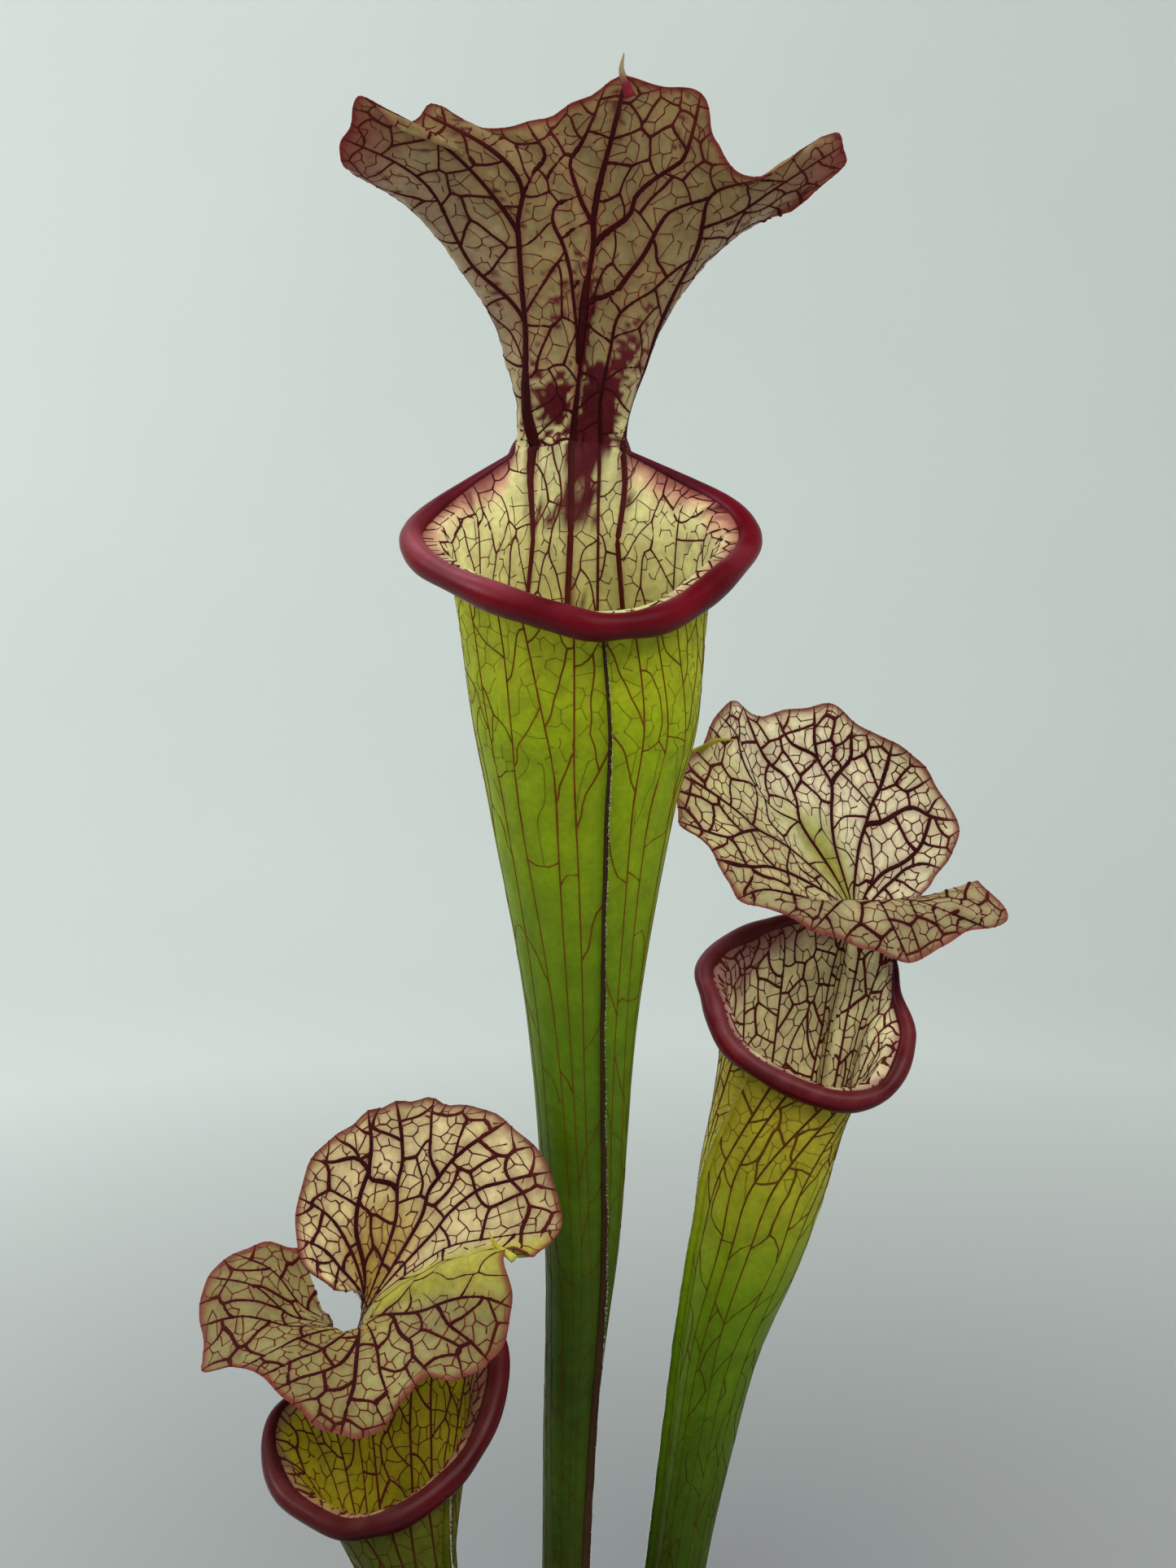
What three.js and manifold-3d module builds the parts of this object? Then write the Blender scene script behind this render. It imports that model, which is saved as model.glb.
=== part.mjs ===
// Potted hybrid pitcher plant: three pitcher leaves on a rhizome in a pot of peat.
// Millimetres, +Z up, origin at the centre of the pot's foot, -Y is the viewer's side.
import * as THREE from 'three';
import Module from 'manifold-3d';

const wasm = await Module();
wasm.setup();

// Driving dimensions
const POT_HEIGHT = 135;
const POT_FOOT_RADIUS = 58;
const POT_RIM_RADIUS = 80;
const POT_WALL = 2;
const POT_BAND_RADIUS = 77;
const POT_BAND_HEIGHT = 13;
const POT_RECESS = 2;
const POT_FLOOR = 4.5;
const POT_FOOT_RING = 8;
const POT_CHAMFER = 1;
const POT_SIDES = 44;
const DRAIN_RADIUS = 5;
const DRAIN_RING_RADIUS = 36;
const DRAIN_COUNT = 6;
const DRAIN_SIDES = 16;
const SOIL_TOP = 124;
const SOIL_RELIEF = 1.6;
const SOIL_RINGS = 8;
const FIT_GAP = 0.3;
const TUBE_HALF_WALL = 0.45;
const BLADE_HALF_WALL = 0.4;
const FOOT_DEPTH = 120.5;
const RHIZOME_RADIUS = 8;
const RHIZOME_SIDES = 14;
const RHIZOME_CELLS = 3;
const ROOT_RADIUS = 1.3;
const ROOT_TAPER = 0.2;
const ROOT_SIDES = 6;
const ROOT_CELLS = 2;
const LIP_START_SHARE = 0.25;
const LIP_FADE_DEGREES = 60;
const WING_CLEAR_DEGREES = 9;
const HORN_SIDES = 8;
const HORN_TIP_RADIUS = 0.15;
const FRONT_CELLS = 18;
const TUBE_CELLS_PER_STATION = 2;
const HOOD_CELLS_PER_ROW = 3;
const EDGE_CELLS = 5;
const FOOT_SIDES = 24;
const FOOT_RINGS = [0, 0.25, 0.5, 0.75, 1];
const WING_ANGLES = [169, 176, 180, 184, 191];
const LEAF_COLOR = 0x8fa833;
const POT_COLOR = 0x2b2f2c;
const PEAT_COLOR = 0x3b2a1c;
const RHIZOME_COLOR = 0x6b4a2e;

// Tube stations from foot to throat: x, y, z, half width across, half width front to
// back, and the way its front wing faces (degrees from the viewer towards +X).
// Rim points: degrees round the mouth from the column, then x, y, z of the lip's core.
// Hood ribs from the first edge of the column to the other, each from neck to margin.
const TALL = {
  stations: [
    [-6, 5, FOOT_DEPTH, 3.6, 4.2, 60],
    [-6, 5, 140, 2.6, 3.8, 60],
    [-5.5, 4.5, 180, 2.5, 3.6, 60],
    [-4.5, 4, 221.5, 2.7, 3.6, 58],
    [-3.5, 3.5, 246, 3.8, 4.4, 50],
    [-2, 3, 268.5, 5, 5.4, 41],
    [-1, 2.5, 286, 6.3, 6.6, 30],
    [-1, 1.5, 325, 9.3, 9.4, 20],
    [-1, 0, 361, 15.4, 14.8, 15],
    [-0.5, -1, 378, 19, 18, 13],
  ],
  column: [38, 322],
  hollowFrom: 5,
  wing: 1.6,
  bead: 2.4,
  flare: { scale: 0.8, drop: 13 },
  rim: [
    [38, -13.5, 18, 422], [58, -21, 13, 417], [78, -28.5, 5, 411], [90, -30, 0, 408],
    [112, -26, -8, 404], [140, -15.5, -19, 400], [166, -3, -26, 396.5], [180, 3, -27, 395.5],
    [212, 13.5, -20, 397], [243, 23, -9, 403], [268, 27.5, 0, 408], [284, 25.5, 6, 412.5],
    [301, 19, 12, 416.5], [322, 7, 18.5, 422.5], [342, 3, 21.5, 423.5], [360, -3, 22.5, 424],
    [378, -9, 21.5, 423.5],
  ],
  ribs: [
    [[-10.5, 25, 429], [-12.5, 27, 443.5], [-19, 26, 455], [-29, 20, 464], [-39.5, 12, 470]],
    [[-13, 20, 429.5], [-16, 21, 444.5], [-23.5, 18, 456], [-31.5, 12, 465.5], [-41.5, 6, 471.5]],
    [[-11, 17, 430], [-11.5, 17, 445], [-17.5, 14, 458], [-26.5, 8, 469], [-41.5, 0, 477]],
    [[-8, 17, 430], [-8.5, 15, 446], [-13, 12, 460], [-20.5, 6, 471], [-36, -2, 480]],
    [[-6, 18, 430.5], [-6, 15, 446.5], [-10, 12, 460.5], [-17, 7, 470.5], [-32, 0, 476]],
    [[-4.5, 19, 430.5], [-3.5, 15, 447], [-6, 12, 461.5], [-12, 8, 471], [-25.5, 3, 479.5]],
    [[-3.5, 20, 430.5], [-2, 16, 447], [-3.5, 13, 462], [-7.5, 10, 472], [-16.5, 6, 476.5]],
    [[-3, 20.5, 430.5], [-1, 16, 447], [-1, 13, 462], [-2.5, 11, 473], [-6, 8, 479.5]],
    [[-2, 20.5, 430.5], [0.5, 17, 447.5], [2.5, 14, 462.5], [4.5, 10, 475], [6.5, 5, 485]],
    [[-0.5, 20, 430.5], [2, 16, 447], [6, 13, 462], [10, 9, 472.5], [14, 4, 483.5]],
    [[0.5, 19.5, 430.5], [4, 15, 447], [8.5, 12, 461], [14, 8, 471], [19.5, 3, 480.5]],
    [[2, 18.5, 430.5], [5.5, 15, 446.5], [11.5, 12, 460], [17.5, 9, 468], [23, 5, 472]],
    [[4, 17.5, 430.5], [7.5, 15, 446], [14, 13, 459], [20.5, 10, 466], [27.5, 5, 469]],
    [[5.5, 17, 430], [9.5, 16, 445], [16, 14, 458], [24, 10, 465.5], [35.5, 2, 472.5]],
    [[6.5, 17.5, 430], [11, 18, 444.5], [18.5, 16, 456.5], [27, 11, 464], [41.5, -2, 475]],
    [[7.5, 20, 429.5], [12.5, 21, 444], [20, 19, 455], [28.5, 14, 462], [43.5, 3, 470]],
    [[5.5, 25, 429], [10.5, 27, 443.5], [18, 27, 454], [26, 22, 461], [35, 12, 463.5]],
  ],
  horn: { base: [6.4, 5.4, 483.5], tip: [6, 4, 488.5], radius: 1 },
};

const RIGHT = {
  stations: [
    [8, 3, FOOT_DEPTH, 3.6, 4, -80],
    [8.5, 4, 140, 2.6, 3.8, -80],
    [11, 7, 175, 2.9, 4, -80],
    [17, 13, 217.5, 4.3, 4.6, -80],
    [21, 16, 240.5, 5.7, 5.8, -80],
    [24.5, 19, 258, 7.2, 7.2, -78],
    [29.5, 22, 275.5, 10, 10, -70],
    [33, 24, 290, 11.6, 11.6, -62],
  ],
  column: [22, 333],
  hollowFrom: 3,
  wing: 1.4,
  bead: 2,
  flare: { scale: 0.82, drop: 10 },
  rim: [
    [22, 51, 39, 335.5], [35, 46, 36.5, 335.5], [55, 37, 32.5, 335.5], [90, 25.5, 27, 332],
    [108, 21.5, 23, 328.5], [132, 22.5, 19.5, 324], [170, 26, 14.5, 316], [202, 35.5, 12, 310],
    [232, 46.5, 12, 306.5], [257, 54.5, 15.5, 308], [288, 59, 22.5, 315.5],
    [313, 57.5, 27.5, 322.5], [333, 57.5, 32.5, 328], [349, 54, 35, 330], [360, 50.5, 33, 332],
    [371, 50, 35, 334],
  ],
  ribs: [
    [[55, 38, 337], [57, 39, 337.5], [59.5, 40, 337.5], [62, 41, 337]],
    [[53.5, 38, 337.5], [58, 41, 341], [63, 43, 343], [68, 42, 343.5]],
    [[52.5, 38, 338], [57, 42, 345], [63.5, 45, 347.5], [71, 44, 349.5]],
    [[51.5, 37, 338], [55, 42, 349.5], [62, 46, 356], [69, 46, 356]],
    [[50.5, 36, 338], [52, 41, 353], [57, 46, 359.5], [61.5, 45, 366]],
    [[50, 35, 338], [48, 38, 355], [50, 43, 363.5], [52.5, 42, 370.5]],
    [[49.5, 34, 338], [44.5, 35, 354.5], [43.5, 39, 365], [44.5, 38, 375.5]],
    [[49.5, 33, 338], [41, 31, 354], [36, 33, 364], [32.5, 31, 374.5]],
    [[49, 32, 338], [38.5, 28, 352], [30.5, 27, 362.5], [26, 24, 378]],
    [[49, 31, 338], [37.5, 25, 350.5], [28.5, 21, 360], [20, 17, 370.5]],
    [[49, 30, 337.5], [36.5, 21, 349.5], [26.5, 16, 357.5], [16.5, 14, 366.5]],
    [[49.5, 29, 337.5], [35.5, 18, 347], [26, 13, 353.5], [16, 12, 357.5]],
    [[49.5, 28, 337.5], [37, 16, 344.5], [28.5, 11, 349], [22.5, 9, 352]],
    [[50, 27, 337], [39.5, 17, 342.5], [33, 13, 344.5], [26.5, 10, 344]],
    [[51, 27, 338], [43.5, 19, 341.5], [38.5, 15, 342], [34.5, 13, 341]],
    [[52, 27, 338.5], [48, 20, 341.5], [46.5, 16, 339], [47, 15, 335]],
    [[53, 28, 338.5], [52.5, 21, 341], [54, 17, 337], [56.5, 17, 331]],
    [[54, 29, 338.5], [56, 22, 341], [59, 19, 337.5], [62.5, 20, 331.5]],
    [[55, 31, 338.5], [59.5, 25, 340.5], [64.5, 22, 339], [69.5, 23, 335.5]],
    [[56, 33, 338], [61, 27, 340.5], [68.5, 24, 340], [77.5, 26, 337]],
    [[56, 36, 337], [60.5, 30, 340], [66, 29, 341.5], [72.5, 30, 343.5]],
  ],
  horn: { base: [20.5, 17.3, 370], tip: [21.5, 15, 372.5], radius: 0.8 },
};

const LEFT = {
  stations: [
    [-17, -5, FOOT_DEPTH, 3.4, 3.8, 75],
    [-18, -7, 140, 2.7, 3.6, 75],
    [-22, -13, 175, 3.6, 4.2, 75],
    [-27, -21, 210, 5.8, 6, 70],
    [-30, -24, 232, 7.5, 7.5, 60],
    [-31.5, -24, 240, 9, 9, 54],
  ],
  column: [20, 330],
  hollowFrom: 2,
  wing: 1.4,
  bead: 2,
  flare: { scale: 0.82, drop: 8 },
  rim: [
    [20, -50, -11, 261.5], [42, -54, -14.5, 258], [58, -54.5, -19, 254], [80, -51, -26.5, 249.5],
    [98, -44.5, -32, 247.5], [112, -39.5, -34.5, 247], [140, -31, -35, 249.5],
    [172, -22.5, -31, 254.5], [197, -18, -26, 259.5], [222, -15.5, -18.5, 266],
    [245, -16.5, -11.5, 271.5], [265, -21.5, -6.5, 273.5], [300, -32, -4, 272],
    [330, -39, -5, 267.5], [345, -41.5, -9, 267], [360, -43, -12, 265], [370, -46.5, -12, 263.5],
  ],
  ribs: [
    [[-44.5, -11, 272.5], [-46.5, -10, 275.5], [-48.5, -8, 279.5], [-50.5, -5, 284]],
    [[-44, -13, 273], [-48.5, -13, 276.5], [-53, -12, 282.5], [-57, -10, 286.5]],
    [[-43.5, -15, 273.5], [-50, -17, 277], [-56, -18, 282.5], [-63.5, -16, 285]],
    [[-42.5, -17, 274], [-50.5, -21, 276.5], [-57.5, -23, 279], [-65.5, -21, 277.5]],
    [[-41.5, -18, 274.5], [-49.5, -25, 276], [-56, -27, 275], [-63.5, -26, 270.5]],
    [[-41, -19, 274.5], [-47.5, -27, 275], [-51.5, -31, 275], [-56.5, -31, 273.5]],
    [[-40, -20, 275], [-44.5, -29, 274.5], [-47.5, -34, 273], [-51.5, -35, 271]],
    [[-39.5, -20, 275.5], [-41.5, -30, 273.5], [-43, -36, 271], [-46, -38, 268]],
    [[-38.5, -21, 276], [-38.5, -31, 273], [-38.5, -37, 269.5], [-39.5, -38, 264.5]],
    [[-38, -21, 276.5], [-35.5, -31, 274], [-33.5, -37, 270.5], [-33, -38, 266]],
    [[-37.5, -21, 276.5], [-32.5, -30, 275], [-29, -35, 273.5], [-28, -37, 272.5]],
    [[-37, -20, 277], [-29, -30, 277.5], [-24, -34, 276.5], [-21, -36, 273.5]],
    [[-36.5, -19, 277], [-27, -29, 280.5], [-20.5, -33, 280], [-15, -34, 276.5]],
    [[-36.5, -18, 277.5], [-26, -27, 283.5], [-19, -31, 285.5], [-12.5, -31, 284.5]],
    [[-36, -17, 278], [-26.5, -25, 287], [-20, -28, 290.5], [-13, -27, 292]],
    [[-36.5, -15, 278], [-26.5, -19, 285.5], [-16.5, -22, 290], [-9, -21, 290]],
    [[-37, -13, 277.5], [-26, -15, 286.5], [-15.5, -17, 291.5], [-4.5, -16, 293.5]],
    [[-37, -12, 277.5], [-27, -11, 290.5], [-17, -13, 297.5], [-7.5, -13, 303]],
    [[-37.5, -11, 277.5], [-29.5, -8, 293.5], [-23, -9, 302], [-16, -8, 309.5]],
    [[-38, -10, 277.5], [-33.5, -5, 295], [-30, -5, 303.5], [-28, -4, 311]],
    [[-38.5, -9, 277], [-38, -4, 293], [-37.5, -2, 302], [-38.5, -1, 308]],
    [[-38.5, -9, 277.5], [-41.5, -4, 288.5], [-44.5, -2, 296], [-48.5, -1, 299.5]],
    [[-39, -9, 277.5], [-44, -5, 284], [-47.5, -4, 288.5], [-51.5, -3, 290.5]],
    [[-39, -9, 277.5], [-43, -7, 280], [-46, -6, 281], [-49.5, -7, 282.5]],
    [[-39, -9, 277], [-40.5, -8, 278], [-42, -8, 278], [-44, -9, 278.5]],
  ],
  horn: { base: [-13.5, -27, 291.5], tip: [-16.5, -25, 294.5], radius: 0.8 },
};

// Rhizome: centre line with the radius at each point, and the roots hanging from it.
const RHIZOME_LINE = [
  [-31, -7, 115, 0.45],
  [-24, -6, 116, 0.85],
  [-15, -3, 116.5, 1.05],
  [-5, 2, 117, 1],
  [6, 3, 117, 1.05],
  [15, 4, 116.5, 0.85],
  [22, 5, 116.5, 0.5],
];
const ROOTS = [
  [[-24, -6, 114], [-30, -12, 96], [-36, -14, 70], [-34, -20, 40]],
  [[-12, -2, 112], [-10, -10, 92], [-16, -16, 62], [-14, -22, 36]],
  [[0, 3, 112], [4, 8, 90], [0, 16, 64], [6, 20, 38]],
  [[10, 3, 112], [16, -4, 94], [22, -6, 70], [30, -12, 48]],
  [[18, 5, 113], [28, 10, 98], [36, 12, 78], [40, 20, 56]],
];

const radians = THREE.MathUtils.degToRad;
const vector = (p) => new THREE.Vector3(p[0], p[1], p[2]);

// Smooth value at t through values given at growing keys; each value is a list.
function smooth(keys, values, t) {
  const last = keys.length - 1;
  let i = 0;
  while (i < last - 1 && t > keys[i + 1]) {
    i += 1;
  }
  const slope = (k, c) => {
    const a = Math.max(k - 1, 0);
    const b = Math.min(k + 1, last);
    return (values[b][c] - values[a][c]) / (keys[b] - keys[a]);
  };
  const span = keys[i + 1] - keys[i];
  const s = (t - keys[i]) / span;
  const rise = s * s * (3 - 2 * s);
  const leave = span * s * (1 - s) * (1 - s);
  const arrive = span * s * s * (1 - s);
  return values[i].map((from, c) => from + (values[i + 1][c] - from) * rise
    + slope(i, c) * leave - slope(i + 1, c) * arrive);
}

// Point at place q along a row of points; whole numbers of q are the points themselves.
function alongPoints(points, q) {
  const keys = [0];
  for (let i = 1; i < points.length; i += 1) {
    keys.push(keys[i - 1] + Math.sqrt(points[i].distanceTo(points[i - 1])) + 0.01);
  }
  const i = Math.min(Math.floor(q), points.length - 2);
  const t = keys[i] + (q - i) * (keys[i + 1] - keys[i]);
  return vector(smooth(keys, points.map((p) => p.toArray()), t));
}

// Point of the lip's core line at an angle round the mouth.
function rimPoint(leaf, degrees) {
  const first = leaf.rim[0];
  const closed = [...leaf.rim, [first[0] + 360, ...first.slice(1)]];
  const wrapped = degrees < first[0] ? degrees + 360 : degrees;
  return vector(smooth(closed.map((r) => r[0]), closed.map((r) => r.slice(1)), wrapped));
}

// Point on one tube station, widened by grow.
function stationPoint(leaf, index, degrees, grow) {
  const [x, y, z, across, deep, turn] = leaf.stations[index];
  const before = leaf.stations[Math.max(index - 1, 0)];
  const after = leaf.stations[Math.min(index + 1, leaf.stations.length - 1)];
  const axis = vector(after).sub(vector(before)).normalize();
  const face = radians(turn);
  const front = new THREE.Vector3(Math.sin(face), -Math.cos(face), 0);
  front.addScaledVector(axis, -front.dot(axis)).normalize();
  const side = new THREE.Vector3().crossVectors(front, axis);
  const a = radians(degrees);
  return new THREE.Vector3(x, y, z)
    .addScaledVector(side, Math.sin(a) * (across + grow))
    .addScaledVector(front, -Math.cos(a) * (deep + grow));
}

// Points that one column of the tube passes through: stations, flare and lip.
function tubeColumn(leaf, degrees) {
  const rows = leaf.stations.map((_, i) => stationPoint(leaf, i, degrees, 0));
  const centre = new THREE.Vector3();
  leaf.rim.forEach((r) => centre.add(vector(r.slice(1))));
  centre.divideScalar(leaf.rim.length);
  const throat = vector(leaf.stations[leaf.stations.length - 1]);
  const down = throat.sub(centre).normalize().multiplyScalar(leaf.flare.drop);
  const rim = rimPoint(leaf, degrees);
  rows.push(centre.add(down).lerp(rim, leaf.flare.scale), rim);
  return rows;
}

// Angles of the front columns, set close together beside the wing.
function frontAngles(leaf) {
  const [start, end] = leaf.column;
  const even = [];
  for (let i = 0; i <= FRONT_CELLS; i += 1) {
    even.push(start + ((end - start) * i) / FRONT_CELLS);
  }
  const low = WING_ANGLES[0] - WING_CLEAR_DEGREES;
  const high = WING_ANGLES[WING_ANGLES.length - 1] + WING_CLEAR_DEGREES;
  return [...even.filter((a) => a < low || a > high), ...WING_ANGLES].sort((a, b) => a - b);
}

// Middle sheet of a leaf: its points, its triangles, its edge and its rows of columns.
function leafSheet(leaf) {
  const points = [];
  const triangles = [];
  const add = (p) => points.push(p) - 1;
  const front = frontAngles(leaf);
  const ribs = leaf.ribs.map((rib) => rib.map(vector));
  const ribCells = ribs.length - 1;
  const backSpan = leaf.column[0] + 360 - leaf.column[1];
  const ribAngle = (k) => leaf.column[0] - (backSpan * k) / ribCells;
  const rimRow = (leaf.stations.length + 1) * TUBE_CELLS_PER_STATION;
  const hoodRows = ribs[0].length * HOOD_CELLS_PER_ROW;

  const frontColumns = front.slice(1, -1).map((degrees) => {
    const rows = tubeColumn(leaf, degrees);
    const rimGap = rows[rows.length - 1].distanceTo(rows[rows.length - 2]);
    const short = beadOffset(leaf, degrees) / rimGap;
    return rowIds(rimRow, (q) => alongPoints(rows, q * (1 - short / (rows.length - 1))), add);
  });
  const ribColumns = ribs.map((rib, k) => {
    const rows = [...tubeColumn(leaf, ribAngle(k)), ...rib];
    return rowIds(rimRow + hoodRows, (q) => alongPoints(rows, q), add, rimRow);
  });

  const round = [ribColumns[0], ...frontColumns, ...[...ribColumns].reverse()];
  const quad = (a, b, r) => {
    triangles.push([a[r], b[r], b[r + 1]], [a[r], b[r + 1], a[r + 1]]);
  };
  for (let c = 0; c < round.length - 1; c += 1) {
    const rows = Math.min(round[c].length, round[c + 1].length) - 1;
    const isFront = c <= frontColumns.length;
    for (let r = 0; r < (isFront ? rimRow : rows); r += 1) {
      quad(round[c], round[c + 1], r);
    }
  }
  const lastRib = ribColumns[ribCells];
  const edge = [
    lastRib[rimRow],
    ...frontColumns.map((column) => column[rimRow]).reverse(),
    ...ribColumns[0].slice(rimRow, -1),
    ...ribColumns.map((column) => column[column.length - 1]),
    ...lastRib.slice(rimRow + 1, -1).reverse(),
  ];
  const lip = new Map(front.slice(1, -1).map((degrees, i) => [frontColumns[i][rimRow], degrees]));
  const wing = frontColumns[front.indexOf(180) - 1];
  return { points, triangles, edge, lip, wing, round: round.slice(0, -1), rimRow };
}

// Ids of the points of one column, with places measured in stations.
function rowIds(cells, at, add, rimRow = cells) {
  const ids = [];
  for (let r = 0; r <= cells; r += 1) {
    const q = r <= rimRow ? r / TUBE_CELLS_PER_STATION
      : rimRow / TUBE_CELLS_PER_STATION + (r - rimRow) / HOOD_CELLS_PER_ROW;
    ids.push(add(at(q)));
  }
  return ids;
}

// Radius of the rolled lip: full in front, drawn out to the wall beside the column.
function beadRadius(leaf, degrees) {
  const [start, end] = leaf.column;
  const nearest = Math.min(degrees - start, end - degrees);
  const full = THREE.MathUtils.smoothstep(nearest, 0, LIP_FADE_DEGREES);
  const share = LIP_START_SHARE + (1 - LIP_START_SHARE) * full;
  return TUBE_HALF_WALL + (leaf.bead - TUBE_HALF_WALL) * share;
}

function beadOffset(leaf, degrees) {
  return Math.sqrt(beadRadius(leaf, degrees) ** 2 - TUBE_HALF_WALL ** 2);
}

function sheetNormals(points, triangles) {
  const normals = points.map(() => new THREE.Vector3());
  triangles.forEach(([a, b, c]) => {
    const ab = points[b].clone().sub(points[a]);
    const ac = points[c].clone().sub(points[a]);
    const n = ab.cross(ac);
    [a, b, c].forEach((i) => normals[i].add(n));
  });
  return normals.map((n) => n.normalize());
}

// Closed solid of a leaf: outer face, inner face from the cavity up, rounded edge.
function leafSolid(leaf) {
  const sheet = leafSheet(leaf);
  const normals = sheetNormals(sheet.points, sheet.triangles);
  const rowOf = new Map();
  sheet.round.forEach((column) => column.forEach((id, r) => rowOf.set(id, r)));
  const half = (id) => (rowOf.get(id) <= sheet.rimRow ? TUBE_HALF_WALL : BLADE_HALF_WALL);
  const floorRow = leaf.hollowFrom * TUBE_CELLS_PER_STATION;
  const out = [];
  const faces = [];
  const add = (p) => out.push(p) - 1;
  const outer = sheet.points.map((p, i) => add(p.clone().addScaledVector(normals[i], half(i))));
  const inner = sheet.points.map((p, i) => (rowOf.get(i) < floorRow ? -1
    : add(p.clone().addScaledVector(normals[i], -half(i)))));
  sheet.wing.forEach((id, r) => {
    const belowLip = THREE.MathUtils.smoothstep(sheet.rimRow - r, 1, 4);
    const aboveFoot = THREE.MathUtils.smoothstep(r, 1, 3);
    out[outer[id]].addScaledVector(normals[id], leaf.wing * belowLip * aboveFoot);
  });
  sheet.triangles.forEach(([a, b, c]) => {
    faces.push([outer[a], outer[b], outer[c]]);
    if ([a, b, c].every((i) => inner[i] >= 0)) {
      faces.push([inner[a], inner[c], inner[b]]);
    }
  });
  closeRing(out, faces, sheet.round.map((column) => outer[column[0]]), true);
  closeRing(out, faces, sheet.round.map((column) => inner[column[floorRow]]), false);

  const count = sheet.edge.length;
  const strips = sheet.edge.map((id, i) => {
    const before = sheet.points[sheet.edge[(i + count - 1) % count]];
    const after = sheet.points[sheet.edge[(i + 1) % count]];
    const outwards = after.clone().sub(before).cross(normals[id]).normalize();
    const degrees = sheet.lip.get(id);
    const radius = degrees === undefined ? half(id) : beadRadius(leaf, degrees);
    const offset = Math.sqrt(radius ** 2 - half(id) ** 2);
    const core = sheet.points[id].clone().addScaledVector(outwards, offset);
    const open = Math.PI - Math.asin(half(id) / radius);
    const strip = [outer[id]];
    for (let j = 1; j < EDGE_CELLS; j += 1) {
      const a = open - (2 * open * j) / EDGE_CELLS;
      strip.push(add(core.clone().addScaledVector(outwards, radius * Math.cos(a))
        .addScaledVector(normals[id], radius * Math.sin(a))));
    }
    return [...strip, inner[id]];
  });
  strips.forEach((strip, i) => {
    const next = strips[(i + 1) % count];
    for (let j = 0; j < EDGE_CELLS; j += 1) {
      faces.push([next[j], strip[j], strip[j + 1]], [next[j], strip[j + 1], next[j + 1]]);
    }
  });
  const blade = toManifold(out, faces);
  return blade.add(hornSolid(leaf.horn));
}

// Fan of triangles that closes a ring; facing down when it is the foot's.
function closeRing(points, faces, ring, down) {
  const middle = new THREE.Vector3();
  ring.forEach((id) => middle.add(points[id]));
  const hub = points.push(middle.divideScalar(ring.length)) - 1;
  ring.forEach((id, i) => {
    const next = ring[(i + 1) % ring.length];
    faces.push(down ? [next, id, hub] : [id, next, hub]);
  });
}

// Pointed end of the hood's midrib.
function hornSolid({ base, tip, radius }) {
  const middle = vector(base).lerp(vector(tip), 0.6).toArray();
  const line = [[...base, radius], [...middle, radius / 2], [...tip, HORN_TIP_RADIUS]];
  return sweptSolid(line, HORN_SIDES, 0, 1);
}

// Rounded solid along a line of x, y, z, radius, grown all round by grow.
function sweptSolid(line, sides, grow, cellsPerPoint) {
  const points = [];
  const faces = [];
  const keys = line.map((_, i) => i);
  const steps = (line.length - 1) * cellsPerPoint;
  const rings = [];
  for (let i = 0; i <= steps; i += 1) {
    const t = i / cellsPerPoint;
    const [x, y, z, radius] = smooth(keys, line, t);
    const ahead = vector(smooth(keys, line, Math.min(t + 0.05, line.length - 1)));
    const behind = vector(smooth(keys, line, Math.max(t - 0.05, 0)));
    const axis = ahead.sub(behind).normalize();
    const helper = Math.abs(axis.z) > 0.8 ? new THREE.Vector3(1, 0, 0) : new THREE.Vector3(0, 0, 1);
    const side = helper.cross(axis).normalize();
    const up = axis.clone().cross(side);
    const end = (i === 0 ? -grow : 0) + (i === steps ? grow : 0);
    const ring = [];
    for (let k = 0; k < sides; k += 1) {
      const a = (2 * Math.PI * k) / sides;
      ring.push(points.push(new THREE.Vector3(x, y, z)
        .addScaledVector(axis, end)
        .addScaledVector(side, Math.cos(a) * (radius + grow))
        .addScaledVector(up, Math.sin(a) * (radius + grow))) - 1);
    }
    rings.push(ring);
  }
  for (let i = 0; i < steps; i += 1) {
    bridge(faces, rings[i], rings[i + 1]);
  }
  closeRing(points, faces, rings[0], true);
  closeRing(points, faces, rings[steps], false);
  return toManifold(points, faces);
}

function bridge(faces, low, high) {
  low.forEach((a, k) => {
    const b = low[(k + 1) % low.length];
    const c = high[(k + 1) % low.length];
    faces.push([a, b, c], [a, c, high[k]]);
  });
}

function toManifold(points, faces) {
  const mesh = new wasm.Mesh({
    numProp: 3,
    vertProperties: new Float32Array(points.flatMap((p) => p.toArray())),
    triVerts: new Uint32Array(faces.flat()),
  });
  return new wasm.Manifold(mesh);
}

// Solid turned about Z from a profile of radius, height; both its ends are on the axis.
function turnedSolid(profile, sides, lift = () => 0) {
  const points = [];
  const faces = [];
  const at = (r, z, k) => {
    const a = (2 * Math.PI * k) / sides;
    const x = r * Math.cos(a);
    const y = r * Math.sin(a);
    return points.push(new THREE.Vector3(x, y, z + lift(x, y, z))) - 1;
  };
  const rings = profile.slice(1, -1).map(([r, z]) => {
    const ring = [];
    for (let k = 0; k < sides; k += 1) {
      ring.push(at(r, z, k));
    }
    return ring;
  });
  for (let i = 0; i < rings.length - 1; i += 1) {
    bridge(faces, rings[i], rings[i + 1]);
  }
  closeRing(points, faces, rings[0], true);
  closeRing(points, faces, rings[rings.length - 1], false);
  return toManifold(points, faces);
}

// Inner radius of the pot's wall at a height.
function potBore(z) {
  return POT_FOOT_RADIUS - POT_WALL + ((POT_BAND_RADIUS - POT_FOOT_RADIUS) * z) / POT_HEIGHT;
}

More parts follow.
